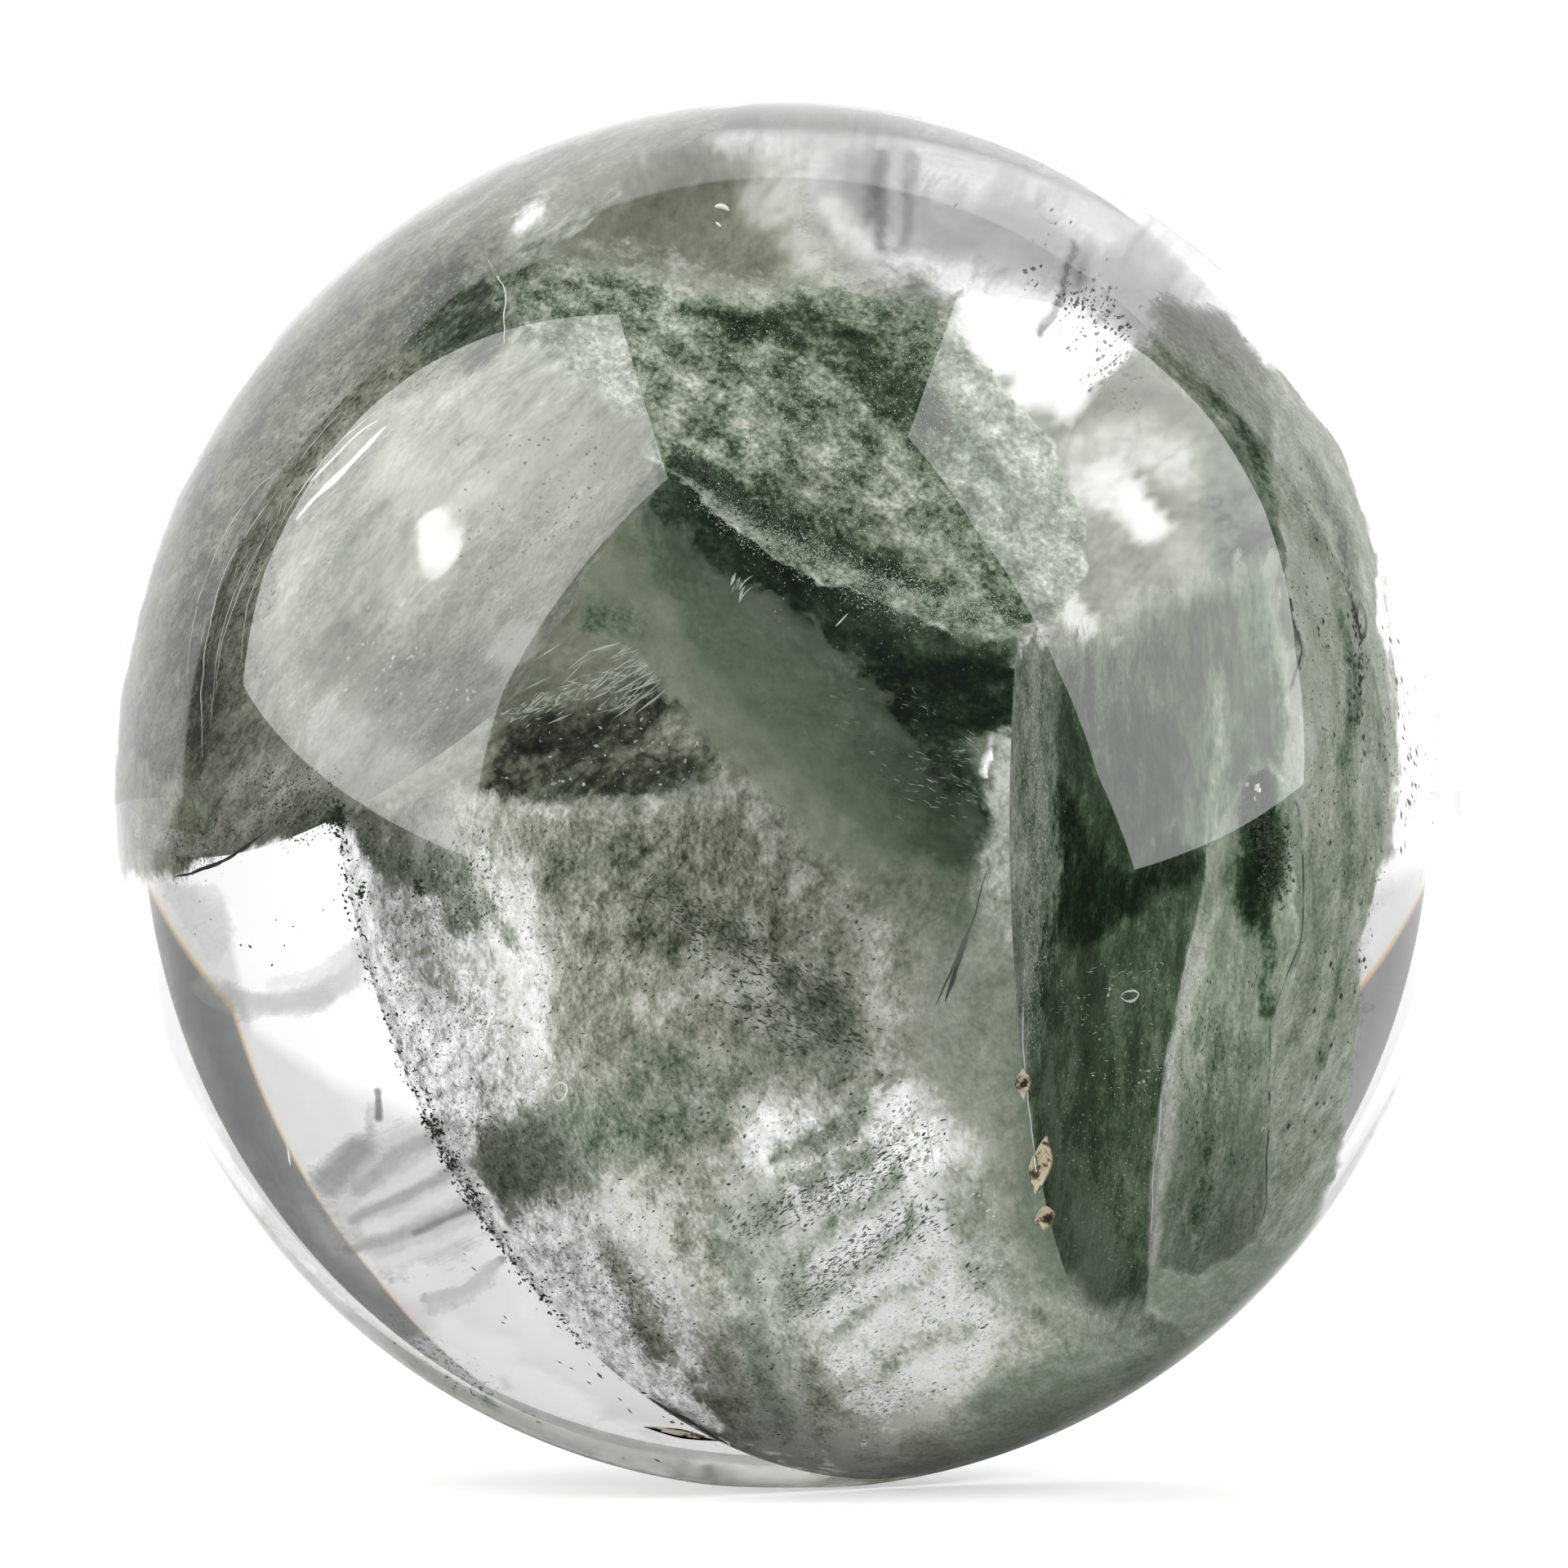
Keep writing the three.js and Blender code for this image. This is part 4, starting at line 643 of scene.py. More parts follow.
        (-3.3, 2.58), (-2.03, 0.89), (-2.39, -2.65), (-3.84, -3.58), (-4.05, -0.51)]),
    ("right_rim_veil", "fill", "dark", 1500, 0.016, 0.035, 1.5, None, 0, 0.4, [
        (-2.14, 10.94), (-0.86, 8.11), (-2.57, 5.03), (-2.99, 2.09), (-3.49, -0.28), (-3.4, -2.64),
        (-3.77, -5.4), (-3.31, -8.23), (-1.76, -11.19), (-2.21, -13.21), (-2.01, -15.37), (-5.92, -11.9),
        (-7.89, -8.67), (-7.76, -4.97), (-8.02, -2.07), (-7.97, 1.05), (-7.2, 4.21), (-5.52, 7.47)]),
    ("right_rim_veil", "line", "dark", 70, 0.03, 0.09, 2.2, -73, 0.51, 0.4, [
        (-1.88, 3.04), (-1.67, 0.65), (-1.29, -1.48), (-2.5, -3.35)]),
    ("right_rim_veil", "line", "dark", 40, 0.02, 0.06, 2, -67, 0.49, 0.4, [
        (0.84, 2.07), (1.11, -0.3), (-0.06, -2.66)]),
    ("green_mass", "fill", "pale", 120, 0.01, 0.018, 8, -20, 0, 1.2, [
        (0.4, 1.69), (1.97, 1.68), (3.52, 1.66), (3.39, 0.25), (3.27, -1.18), (1.78, -1.01), (1.09, 0.34)]),
    ("green_mass", "fill", "pale", 260, 0.01, 0.02, 1.5, None, 0, 1.2, [
        (-1.6, 5.27), (-0.13, 4.38), (1.32, 3.52), (2.68, 2.99), (4.04, 2.48), (3.65, 0.5), (3.26, -1.52),
        (1.73, -0.34), (0.2, 0.86), (-0.7, 3.06)]),
    ("milky_band", "line", "pale", 7, 0.03, 0.07, 3, 70, 0.1, 0.4, [(-3.11, 5.41), (-2.94, 5.06)]),
]

# Cracks: sheet, tone, width, height above the sheet, path. The glint tone is a near-white painted glint of
# light off the healed cracks and their small rings and flecks
SLIVERS = [
    ("upper_left_veil", "glint", 0.05, 0.15, [
        (-1.2, -10.77), (-2.96, -7.34), (-3.7, -4.9), (-3.46, -3.48), (-2.99, -2.53)]),
    ("upper_left_veil", "glint", 0.039, 0.25, [
        (-1.14, -9.94), (-2.24, -7.33), (-2.81, -4.89), (-2.31, -3.44)]),
    ("upper_left_veil", "glint", 0.036, 0.35, [
        (-2.95, -8.62), (-3.78, -6.84), (-4.34, -4.67), (-4.15, -3.03), (-3.18, -2.07)]),
    ("upper_left_veil", "glint", 0.033, 0.3, [(-1.41, -8.87), (-2.39, -6.34), (-2.46, -3.92)]),
    ("upper_left_veil", "glint", 0.035, 0.2, [(-0.91, -7.83), (-1.96, -5.84), (-1.97, -4.38)]),
    ("upper_left_veil", "glint", 0.048, 0.4, [
        (-1.98, -3.67), (-1.9, -2.24), (-1.43, -1.02), (-0.75, -0.29)]),
    ("upper_left_veil", "glint", 0.216, 0.3, [
        (-1.51, -3.5), (-1.16, -2.57), (-0.49, -1.78), (-0.03, -0.7)]),
    ("upper_left_veil", "glint", 0.08, 0.45, [(-1.73, -2.46), (-1.14, -1.38), (-0.41, -0.54)]),
    ("upper_left_veil", "glint", 0.032, 0.45, [(-2.57, -1.92), (-2.33, -1.09), (-2.08, -0.41)]),
    ("upper_left_veil", "dark", 0.066, 0.28, [
        (-0.95, -10.77), (-2.47, -7.59), (-3.24, -5.04), (-3.06, -3.47)]),
    ("upper_left_veil", "dark", 0.06, 0.28, [
        (-2.48, -8.88), (-3.38, -6.84), (-3.9, -4.76), (-3.77, -3.25)]),
    ("upper_left_veil", "glint", 0.038, 0.3, [(-1.03, 4.58), (-0.12, 4.09), (0.94, 3.09), (1.95, 2.21)]),
    ("upper_left_veil", "dark", 0.191, 0.2, [
        (-1.61, -15.36), (-0.53, -15.24), (1.14, -14.8), (2.21, -14.35), (2.89, -13.97), (3.55, -13.47)]),
    ("main_phantom", "dark", 0.062, 0.3, [(3.8, -1.66), (3.43, -2.46), (3, -3.44), (2.49, -4.31)]),
    ("main_phantom", "dark", 0.11, 0.35, [(3.29, -2.95), (3, -3.6), (2.67, -4.21)]),
    ("main_phantom", "glint", 0.051, 0.35, [(1.81, -6), (1.61, -6.88), (1.71, -7.92)]),
    ("seam_wall", "glint", 0.063, 0.2, [(-15.21, -5.7), (-14.9, -7.36), (-13.62, -9.71), (-12.54, -11.4)]),
    ("right_rim_veil", "dark", 0.1, -0.1, [
        (-4.24, 10.74), (-5.41, 9.1), (-5.89, 7.95), (-6.35, 6.46), (-6.55, 5.19), (-7.36, 3.28),
        (-7.04, 2.2), (-8.39, 0.88), (-8.75, -1.16), (-8.2, -2.19), (-7.62, -6.04), (-7.85, -7.17),
        (-8.04, -8.7)]),
    ("right_rim_veil", "glint", 0.076, -0.2, [
        (-4.28, 10.45), (-5.72, 7.94), (-6.24, 6.3), (-6.49, 4.93), (-7.16, 3.26), (-6.89, 2.15),
        (-8.21, 0.82), (-8.53, -1.1)]),
    ("right_rim_veil", "dark", 0.068, -0.1, [
        (-8.15, -8.7), (-7.1, -10.47), (-5.72, -12.58), (-2.89, -15.38)]),
    ("inner_curtain", "glint", 0.061, 0.3, [
        (-0.42, -3.63), (-1.23, -5.93), (-1.64, -8.02), (-1.3, -12.71)]),
    ("seam_wall", "glint", 0.067, 0.8, [
        (-9.45, -5.08), (-9.16, -4.89), (-8.54, -4.8), (-8.11, -4.9), (-8.39, -5.13), (-9, -5.25),
        (-9.45, -5.08)]),
    ("main_phantom", "glint", 0.067, 0.5, [
        (-11.21, -7.69), (-10.96, -7.44), (-10.59, -7.34), (-10.42, -7.49), (-10.71, -7.79),
        (-11.1, -7.92), (-11.21, -7.69)]),
    ("milky_band", "glint", 0.027, 0.5, [(-3.21, 5.18), (-3.07, 5.4), (-2.88, 5.51)]),
    ("milky_band", "glint", 0.023, 0.5, [(-3.12, 4.88), (-2.98, 5.14), (-2.83, 5.21)]),
    ("milky_band", "glint", 0.041, 0.5, [(-0.86, 4.26), (-0.71, 4.4), (-0.57, 4.54)]),
    ("right_rim_veil", "dark", 0.108, 0.1, [
        (-3.57, 3.66), (-3.97, 3.33), (-4.14, 2.8), (-3.97, 2.5), (-3.53, 2.88), (-3.37, 3.36),
        (-3.57, 3.66)]),
    ("low_left_veil", "glint", 0.05, 0.3, [(-9.68, -6.15), (-9.68, -6.61)]),
    ("back_veil", "glint", 0.048, 0.5, [(-0.13, 9.99), (-0.02, 10), (0.07, 9.94)]),
    ("back_veil", "glint", 0.05, 0.5, [(-0.11, 9.85), (-0.03, 9.8)]),
    ("main_phantom", "dark", 0.241, 0.1, [
        (-9.92, -18.24), (-8.63, -17.99), (-7.73, -18.34), (-6.6, -19.14)]),
]


def smooth_step(low, high, value):
    share = np.clip((value - low) / (high - low), 0.0, 1.0)
    return share * share * (3.0 - 2.0 * share)


def lattice_value(cells, seed):
    """A repeatable random number from 0 to 1 for each whole-number cell."""
    number = (cells * np.array(LATTICE_PRIMES)).sum(axis=-1) + seed * SEED_PRIME
    number = (number ^ (number >> 13)) * MIX_PRIME
    number = number ^ (number >> 16)
    return (number & LARGEST_NUMBER) / LARGEST_NUMBER


def cloud(points, size, seed, octaves=3):
    """Soft random pattern from 0 to 1, with features of the given size."""
    total = np.zeros(len(points))
    weight_sum = 0.0
    weight = 1.0
    scaled = points / size
    for octave in range(octaves):
        base = np.floor(scaled).astype(np.int64)
        part = scaled - base
        part = smooth_step(0.0, 1.0, part)
        value = np.zeros(len(points))
        for corner in range(8):
            step = np.array([corner & 1, corner >> 1 & 1, corner >> 2 & 1])
            near = np.where(step, part, 1.0 - part).prod(axis=1)
            value += near * lattice_value(base + step, seed + octave)
        total += value * weight
        weight_sum += weight
        weight *= OCTAVE_WEIGHT
        scaled = scaled * OCTAVE_SCALE + OCTAVE_SHIFT
    return total / weight_sum


def unit_rows(vectors):
    return vectors / np.linalg.norm(vectors, axis=1, keepdims=True)


class BallShape:
    """Takes places from a unit ball to the real one and back."""

    def __init__(self, settings):
        half_long = settings.long_axis / MM / 2
        half_short = settings.short_axis / MM / 2
        lean = settings.lean
        self.half_short = half_short
        self.half_height = math.hypot(half_long * math.cos(lean), half_short * math.sin(lean))
        self.half_width = half_long * half_short / self.half_height
        slide = -(half_long ** 2 - half_short ** 2) * math.sin(lean) * math.cos(lean) / self.half_height
        foot_share = settings.foot_radius / MM / self.half_width
        self.centre = np.array([0.0, 0.0, math.sqrt(1 - foot_share ** 2) * self.half_height])
        self.stretch = np.array([
            [self.half_width, 0.0, slide],
            [0.0, half_short, 0.0],
            [0.0, 0.0, self.half_height],
        ])
        self.unstretch = np.linalg.inv(self.stretch)

    def place(self, unit_points):
        return unit_points @ self.stretch.T + self.centre

    def to_unit(self, points):
        return (points - self.centre) @ self.unstretch.T

    def share_out(self, points):
        """How far points lie from the middle of the ball, as a share of the way to its skin."""
        return np.linalg.norm(self.to_unit(points), axis=1)

    def outward(self, unit_point):
        direction = self.unstretch.T @ unit_point
        return direction / np.linalg.norm(direction)

    def reach_to_skin(self, start, directions):
        """How far each direction runs from a point inside the ball to just under its skin."""
        begin = self.to_unit(start)
        run = directions @ self.unstretch.T
        square = (run * run).sum(axis=1)
        mixed = run @ begin
        rest = begin @ begin - INSIDE_LIMIT ** 2
        return (-mixed + np.sqrt(mixed * mixed - square * rest)) / square


def sheet_axes(normal):
    normal = np.array(normal, float)
    normal /= np.linalg.norm(normal)
    across = np.cross(UP, normal)
    across /= np.linalg.norm(across)
    return normal, across, np.cross(normal, across)


class GrowthSheet:
    """A flat or shell-shaped surface inside the ball, with coordinates along it in millimetres."""

    def __init__(self, shape, table):
        self.shape = shape
        self.table = table
        self.flat = "normal" in table
        self.normal, self.across, self.up = sheet_axes(table["normal"] if self.flat else table["facing"])
        if self.flat:
            slope = shape.stretch.T @ self.normal
            offset = self.normal @ np.array(table["through"], float)
            self.middle = shape.stretch @ (slope * offset / (slope @ slope)) + shape.centre

    def headings(self, spots):
        length = np.maximum(np.hypot(spots[:, 0], spots[:, 1]), TINY_LENGTH)[:, None]
        flat_heading = spots / length
        heading = flat_heading[:, :1] * self.across + flat_heading[:, 1:] * self.up
        return length[:, 0], flat_heading, np.where(length > MIDDLE_LENGTH, heading, self.across)

    def reach(self, heading):
        if self.flat:
            return self.shape.reach_to_skin(self.middle, heading)
        return np.full(len(heading), math.radians(self.table["reach"]) * self.shape.half_short)

    def spread(self, square):
        """Spreads points of a square from -1 to 1 over the whole sheet, or only over its strokes."""
        if self.table.get("small"):
            marks = np.concatenate([np.array(stroke[-1]) for stroke in self.table["strokes"]])
            low, high = marks.min(axis=0) - STROKE_MARGIN, marks.max(axis=0) + STROKE_MARGIN
            return low + (square + 1.0) / 2.0 * (high - low)
        disc = square * np.sqrt(1.0 - square[:, ::-1] ** 2 / 2.0)
        radius, flat_heading, heading = self.headings(disc)
        return flat_heading * (self.reach(heading) * radius)[:, None]

    def places(self, spots, lift=0.0):
        """Places and directions away from the sheet, for sheet coordinates."""
        length, flat_heading, heading = self.headings(spots)
        if self.flat:
            places = self.middle + heading * length[:, None]
            away = np.broadcast_to(self.normal, places.shape)
        else:
            angle = (length / self.shape.half_short)[:, None]
            away = self.normal * np.cos(angle) + heading * np.sin(angle)
            places = self.shape.place(away * self.table["share"])
        hold = np.clip(1.0 - (length / self.reach(heading)) ** 2, 0.0, 1.0)
        swell = (cloud(places, SWELL_SIZE, SWELL_SEED) - 0.5) * SWELL_HEIGHT * hold
        return places + away * (swell + lift)[:, None], away

    def growth(self, spots, places):
        """Cover, greenness, milkiness and warmth of the growth at points of the sheet."""
        wander = np.stack([cloud(places, WANDER_SIZE, seed) for seed in WANDER_SEEDS], axis=1) - 0.5
        ripple = np.stack([cloud(places, RIPPLE_SIZE, seed) for seed in RIPPLE_SEEDS], axis=1) - 0.5
        spots = spots + (wander + ripple * RIPPLE_STRENGTH) * self.table.get("wander", 1.0)
        growth = np.zeros((len(spots), 4))
        for kind, cover, green, milk, warm, strength, soft, path in self.table["strokes"]:
            distance = distance_to_path(spots, path, kind == "fill")
            if kind == "fill":
                signed = np.where(inside_path(spots, path), distance, -distance)
                share = smooth_step(-soft, soft, signed)
            else:
                share = 1.0 - smooth_step(LINE_CORE * soft, LINE_FADE * soft, distance)
            share = (share * strength)[:, None]
            wanted = np.array([cover, green, milk, warm])
            wanted = np.where(wanted == KEEP, growth, wanted)
            growth = growth * (1.0 - share) + wanted * share
        return growth


def distance_to_path(points, path, closed=False):
    path = np.array(path, float)
    ends = np.roll(path, -1, axis=0)
    if not closed:
        path, ends = path[:-1], ends[:-1]
    nearest = np.full(len(points), np.inf)
    for begin, end in zip(path, ends):
        along = end - begin
        share = np.clip((points - begin) @ along / max(along @ along, TINY_LENGTH), 0.0, 1.0)
        nearest = np.minimum(nearest, np.linalg.norm(points - begin - share[:, None] * along, axis=1))
    return nearest


def inside_path(points, path):
    inside = np.zeros(len(points), bool)
    path = np.array(path, float)
    for (x0, y0), (x1, y1) in zip(path, np.roll(path, -1, axis=0)):
        if y0 == y1:
            continue
        crosses = (y0 > points[:, 1]) != (y1 > points[:, 1])
        at = x0 + (points[:, 1] - y0) * (x1 - x0) / (y1 - y0)
        inside ^= crosses & (points[:, 0] < at)
    return inside


def deselect_all():
    if bpy.ops.object.mode_set.poll():
        bpy.ops.object.mode_set(mode="OBJECT")
    bpy.ops.object.select_all(action="DESELECT")


def own_piece(piece, name, material):
    piece.name = name
    piece.data.name = name
    piece.data.materials.clear()
    piece.data.materials.append(material)
    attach(piece, "root")


def new_object(name, data):
    thing = bpy.data.objects.new(name, data)
    bpy.context.scene.collection.objects.link(thing)
    return thing


def join_parts(name, parts, material):
    """Makes one piece of several pairs of corners and faces."""
    offsets = np.cumsum([0] + [len(corners) for corners, faces in parts[:-1]])
    corners = np.concatenate([corners for corners, faces in parts])
    faces = np.concatenate([faces + offset for (_, faces), offset in zip(parts, offsets)])
    mesh = bpy.data.meshes.new(name)
    mesh.from_pydata((corners * MM).tolist(), [], faces.tolist())
    own_piece(new_object(name, mesh), name, material)


def read_corners(mesh):
    corners = np.zeros(len(mesh.vertices) * 3)
    mesh.vertices.foreach_get("co", corners)
    return corners.reshape(-1, 3)


def write_corners(mesh, corners):
    mesh.vertices.foreach_set("co", (corners * MM).ravel())
    mesh.update()


def delete_corners(piece, unwanted):
    """Deletes the marked corners and their faces from the active piece."""
    bpy.ops.object.mode_set(mode="EDIT")
    bpy.ops.mesh.select_mode(type="VERT")
    bpy.ops.mesh.select_all(action="DESELECT")
    bpy.ops.object.mode_set(mode="OBJECT")
    piece.data.vertices.foreach_set("select", unwanted)
    bpy.ops.object.mode_set(mode="EDIT")
    bpy.ops.mesh.delete(type="VERT")
    bpy.ops.object.mode_set(mode="OBJECT")


def new_material(name):
    material = bpy.data.materials.new(name)
    material.use_nodes = True
    return material, material.node_tree, material.node_tree.nodes["Principled BSDF"]


class NodeMaker:
    """Short ways to add and join shader nodes."""

    def __init__(self, tree):
        self.tree = tree

    def add(self, kind, **settings):
        node = self.tree.nodes.new(kind)
        for key, value in settings.items():
            setattr(node, key, value)
        return node

    def join(self, source, target):
        if isinstance(source, (int, float)):
            target.default_value = source
        else:
            self.tree.links.new(source, target)

    def math(self, operation, *values, clamp=False):
        node = self.add("ShaderNodeMath", operation=operation, use_clamp=clamp)
        for value, socket in zip(values, node.inputs):
            self.join(value, socket)
        return node.outputs[0]

    def mix_colour(self, share, first, second):
        node = self.add("ShaderNodeMix", data_type="RGBA")
        self.join(share, node.inputs[0])
        for value, socket in ((first, node.inputs[6]), (second, node.inputs[7])):
            if isinstance(value, tuple):
                socket.default_value = (*value, 1.0)
            else:
                self.tree.links.new(value, socket)
        return node.outputs[2]

    def outside_corner(self, side, side_limit, high, high_limit):
        """How far a spot lies past the side or the top of a panel, whichever is more."""
        past_side = self.math("SUBTRACT", side, side_limit)
        return self.math("MAXIMUM", past_side, self.math("SUBTRACT", high, high_limit))

    def unscattered(self):
        """Shares for light that only the skin has mirrored, and that has only passed through the quartz."""
        path = self.add("ShaderNodeLightPath")
        straight = self.math("LESS_THAN", path.outputs["Diffuse Depth"], 0.5)
        mirrored = self.math("MULTIPLY", path.outputs["Is Reflection Ray"], straight)
        return mirrored, self.math("MULTIPLY", path.outputs["Is Transmission Ray"], straight)

    def noise(self, place, scale, detail, roughness, distortion=0.0):
        """Noise around 0, from about -0.5 to 0.5."""
        node = self.add("ShaderNodeTexNoise")
        self.tree.links.new(place, node.inputs["Vector"])
        node.inputs["Scale"].default_value = scale
        node.inputs["Detail"].default_value = detail
        node.inputs["Roughness"].default_value = roughness
        node.inputs["Distortion"].default_value = distortion
        return self.math("SUBTRACT", node.outputs["Fac"], 0.5)

    def place(self, run=(1.0, 0.0, 0.0), stretch=1.0):
        """Object coordinates, with patterns drawn out along a direction."""
        coordinates = self.add("ShaderNodeTexCoord")
        mapping = self.add("ShaderNodeMapping", vector_type="TEXTURE")
        self.tree.links.new(coordinates.outputs["Object"], mapping.inputs["Vector"])
        turn = Vector((1.0, 0.0, 0.0)).rotation_difference(Vector(run)).to_euler()
        mapping.inputs["Rotation"].default_value = turn
        mapping.inputs["Scale"].default_value = (stretch, 1.0, 1.0)
        return mapping.outputs[0]

    def ramp(self, share, stops):
        node = self.add("ShaderNodeValToRGB")
        self.join(share, node.inputs[0])
        elements = node.color_ramp.elements
        while len(elements) < len(stops):
            elements.new(0.5)
        for element, (position, colour) in zip(elements, stops):
            element.position = position
            element.color = (*colour, 1.0)
        return node.outputs[0]


# Colours of the growth from milky quartz to dense chlorite, once green and once stained by iron
GREEN_STOPS = [
    (0.0, (0.66, 0.69, 0.63)),
    (0.22, (0.375, 0.425, 0.345)),
    (0.42, (0.188, 0.235, 0.172)),
    (0.54, (0.110, 0.158, 0.100)),
    (0.63, (0.050, 0.082, 0.045)),
    (0.76, (0.023, 0.042, 0.020)),
    (0.87, (0.011, 0.027, 0.010)),
    (1.0, (0.003, 0.010, 0.003)),
]
WARM_STOPS = [
    (0.0, (0.68, 0.67, 0.61)),
    (0.22, (0.385, 0.395, 0.315)),
    (0.42, (0.205, 0.223, 0.160)),
    (0.54, (0.130, 0.143, 0.095)),
    (0.63, (0.072, 0.080, 0.053)),
    (0.76, (0.037, 0.041, 0.027)),
    (0.87, (0.018, 0.021, 0.013)),
    (1.0, (0.005, 0.006, 0.004)),
]


# Noise patterns of the growth: scale, detail, roughness and distortion
WIDE_NOISE = (420.0, 3.0, 0.62, 0.3)
FINE_NOISE = (2300.0, 3.0, 0.68)
TINY_NOISE = (7000.0, 2.0, 0.7)
STRAND_NOISE = (1100.0, 3.0, 0.6, 1.4)
SHADE_NOISE = (1500.0, 3.0, 0.72)
STRAND_SHARPNESS = -16.0

# How strongly each pattern changes the cover and the shade of the growth
WIDE_IN_COVER = 1.1
FINE_IN_COVER = 1.7
TINY_IN_COVER = 0.9
STRAND_IN_COVER = 0.30
COVER_STRENGTH = 0.6
SHADE_IN_SHADE = 1.25
TINY_IN_SHADE = 0.8
STRAND_IN_SHADE = 0.16
WIDE_IN_SHADE = 0.42
LEAST_ROUGHNESS = 0.15  # how much of the patterns is left where the growth is milky
GRIT_CONTRAST = 1.6
COVER_START = 12.0  # how steeply the growth sets in where its cover begins
GROWTH_ROUGHNESS = 0.85
GROWTH_SPECULAR = 0.05

# Other surfaces
GRAIN_NOISE = (3000.0, 2.0, 0.6)
HAZE_NOISE = (90.0, 2.0, 0.5)
CRUST_NOISE = (1900.0, 4.0, 0.65)
QUARTZ_STOPS = [(0.0, (0.985, 0.99, 0.985)), (1.0, (1.0, 1.0, 1.0))]
CRUST_STOPS = [
    (0.40, (0.05, 0.03, 0.015)),
    (0.45, (0.28, 0.19, 0.11)),
    (0.50, (0.80, 0.74, 0.58)),
    (1.0, (0.95, 0.93, 0.85)),
]
CRUST_ROUGHNESS = 0.8
GRAIN_ROUGHNESS = 0.7
GLINT_ROUGHNESS = 0.3
DULLEST_GLINT = 0.8  # share of the painted glint colour where it is dullest
BRIGHT_SUGAR = (0.62, 0.66, 0.60)
DARK_CRACK = ((0.03, 0.035, 0.025), (0.09, 0.10, 0.08))


def growth_material(name, settings, run, stretch=1.6, mottle=1.0, speckle=1.0, hair=1.0, grey=0.0):
    """Chlorite and milky quartz as a thin see-through sheet, painted by the growth attribute."""
    material, tree, shader = new_material(name)
    nodes = NodeMaker(tree)
    mottle = mottle * settings.mottle
    speckle = speckle * settings.speckle
    growth = nodes.add("ShaderNodeAttribute", attribute_name="growth")
    parts = nodes.add("ShaderNodeSeparateColor")
    tree.links.new(growth.outputs["Color"], parts.inputs[0])
    cover, green, milk = parts.outputs
    warm = growth.outputs["Alpha"]
    grit = nodes.math("SUBTRACT", 1.0, milk)
    plain = nodes.place()
    drawn = nodes.place(run, stretch)
    wide = nodes.noise(drawn, *WIDE_NOISE)
    fine = nodes.noise(drawn, *FINE_NOISE)
    tiny = nodes.noise(plain, *TINY_NOISE)
    strand = nodes.noise(drawn, *STRAND_NOISE)
    strand = nodes.math("MULTIPLY_ADD", nodes.math("ABSOLUTE", strand), STRAND_SHARPNESS, 1.0, clamp=True)
    rough = nodes.math("MULTIPLY_ADD", grit, 1.0 - LEAST_ROUGHNESS, LEAST_ROUGHNESS)
    uneven = nodes.math("MULTIPLY", fine, FINE_IN_COVER * speckle)
    for pattern, strength in (
            (wide, WIDE_IN_COVER * mottle),
            (tiny, TINY_IN_COVER * speckle),
            (strand, STRAND_IN_COVER * hair)):
        uneven = nodes.math("MULTIPLY_ADD", pattern, strength, uneven)
    uneven = nodes.math("MULTIPLY", uneven, rough)
    contrast = nodes.math("MULTIPLY_ADD", grit, GRIT_CONTRAST, 1.0)
    raised = nodes.math("SUBTRACT", nodes.math("MULTIPLY_ADD", uneven, COVER_STRENGTH, cover), 0.5)
    alpha = nodes.math("MULTIPLY_ADD", raised, contrast, 0.5, clamp=True)
    present = nodes.math("MULTIPLY", cover, COVER_START, clamp=True)
    alpha = nodes.math("MULTIPLY", alpha, present)
    shade = green
    for pattern, strength in (
            (nodes.noise(drawn, *SHADE_NOISE), SHADE_IN_SHADE * speckle),
            (tiny, TINY_IN_SHADE * speckle),
            (strand, STRAND_IN_SHADE * hair)):
        shade = nodes.math("MULTIPLY_ADD", nodes.math("MULTIPLY", pattern, rough), strength, shade)
    shade = nodes.math("MULTIPLY_ADD", wide, WIDE_IN_SHADE * mottle, shade, clamp=True)
    colour = nodes.mix_colour(warm, nodes.ramp(shade, GREEN_STOPS), nodes.ramp(shade, WARM_STOPS))
    plain_grey = nodes.add("ShaderNodeRGBToBW")
    nodes.join(colour, plain_grey.inputs[0])
    colour = nodes.mix_colour(grey, colour, plain_grey.outputs[0])
    tree.links.new(colour, shader.inputs["Base Color"])
    tree.links.new(alpha, shader.inputs["Alpha"])
    shader.inputs["Roughness"].default_value = GROWTH_ROUGHNESS
    shader.inputs["Specular IOR Level"].default_value = GROWTH_SPECULAR
    return material


def grain_material(name, dull, bright, roughness=GRAIN_ROUGHNESS):
    """Each grain takes its own colour between two, with some noise over it."""
    material, tree, shader = new_material(name)
    nodes = NodeMaker(tree)
    geometry = nodes.add("ShaderNodeNewGeometry")
    spots = nodes.noise(nodes.place(), *GRAIN_NOISE)
    share = nodes.math("ADD", geometry.outputs["Random Per Island"], spots, clamp=True)
    tree.links.new(nodes.mix_colour(share, tuple(dull), tuple(bright)), shader.inputs["Base Color"])
    shader.inputs["Roughness"].default_value = roughness
    return material


def quartz_material(settings):
    material, tree, shader = new_material("clear_quartz")
    nodes = NodeMaker(tree)
    haze = nodes.noise(nodes.place(), *HAZE_NOISE)
    tint = nodes.ramp(nodes.math("ADD", haze, 0.5), QUARTZ_STOPS)
    tree.links.new(tint, shader.inputs["Base Color"])
    shader.inputs["Roughness"].default_value = 0.0
    shader.inputs["IOR"].default_value = settings.ior
    shader.inputs["Transmission Weight"].default_value = 1.0
    return material


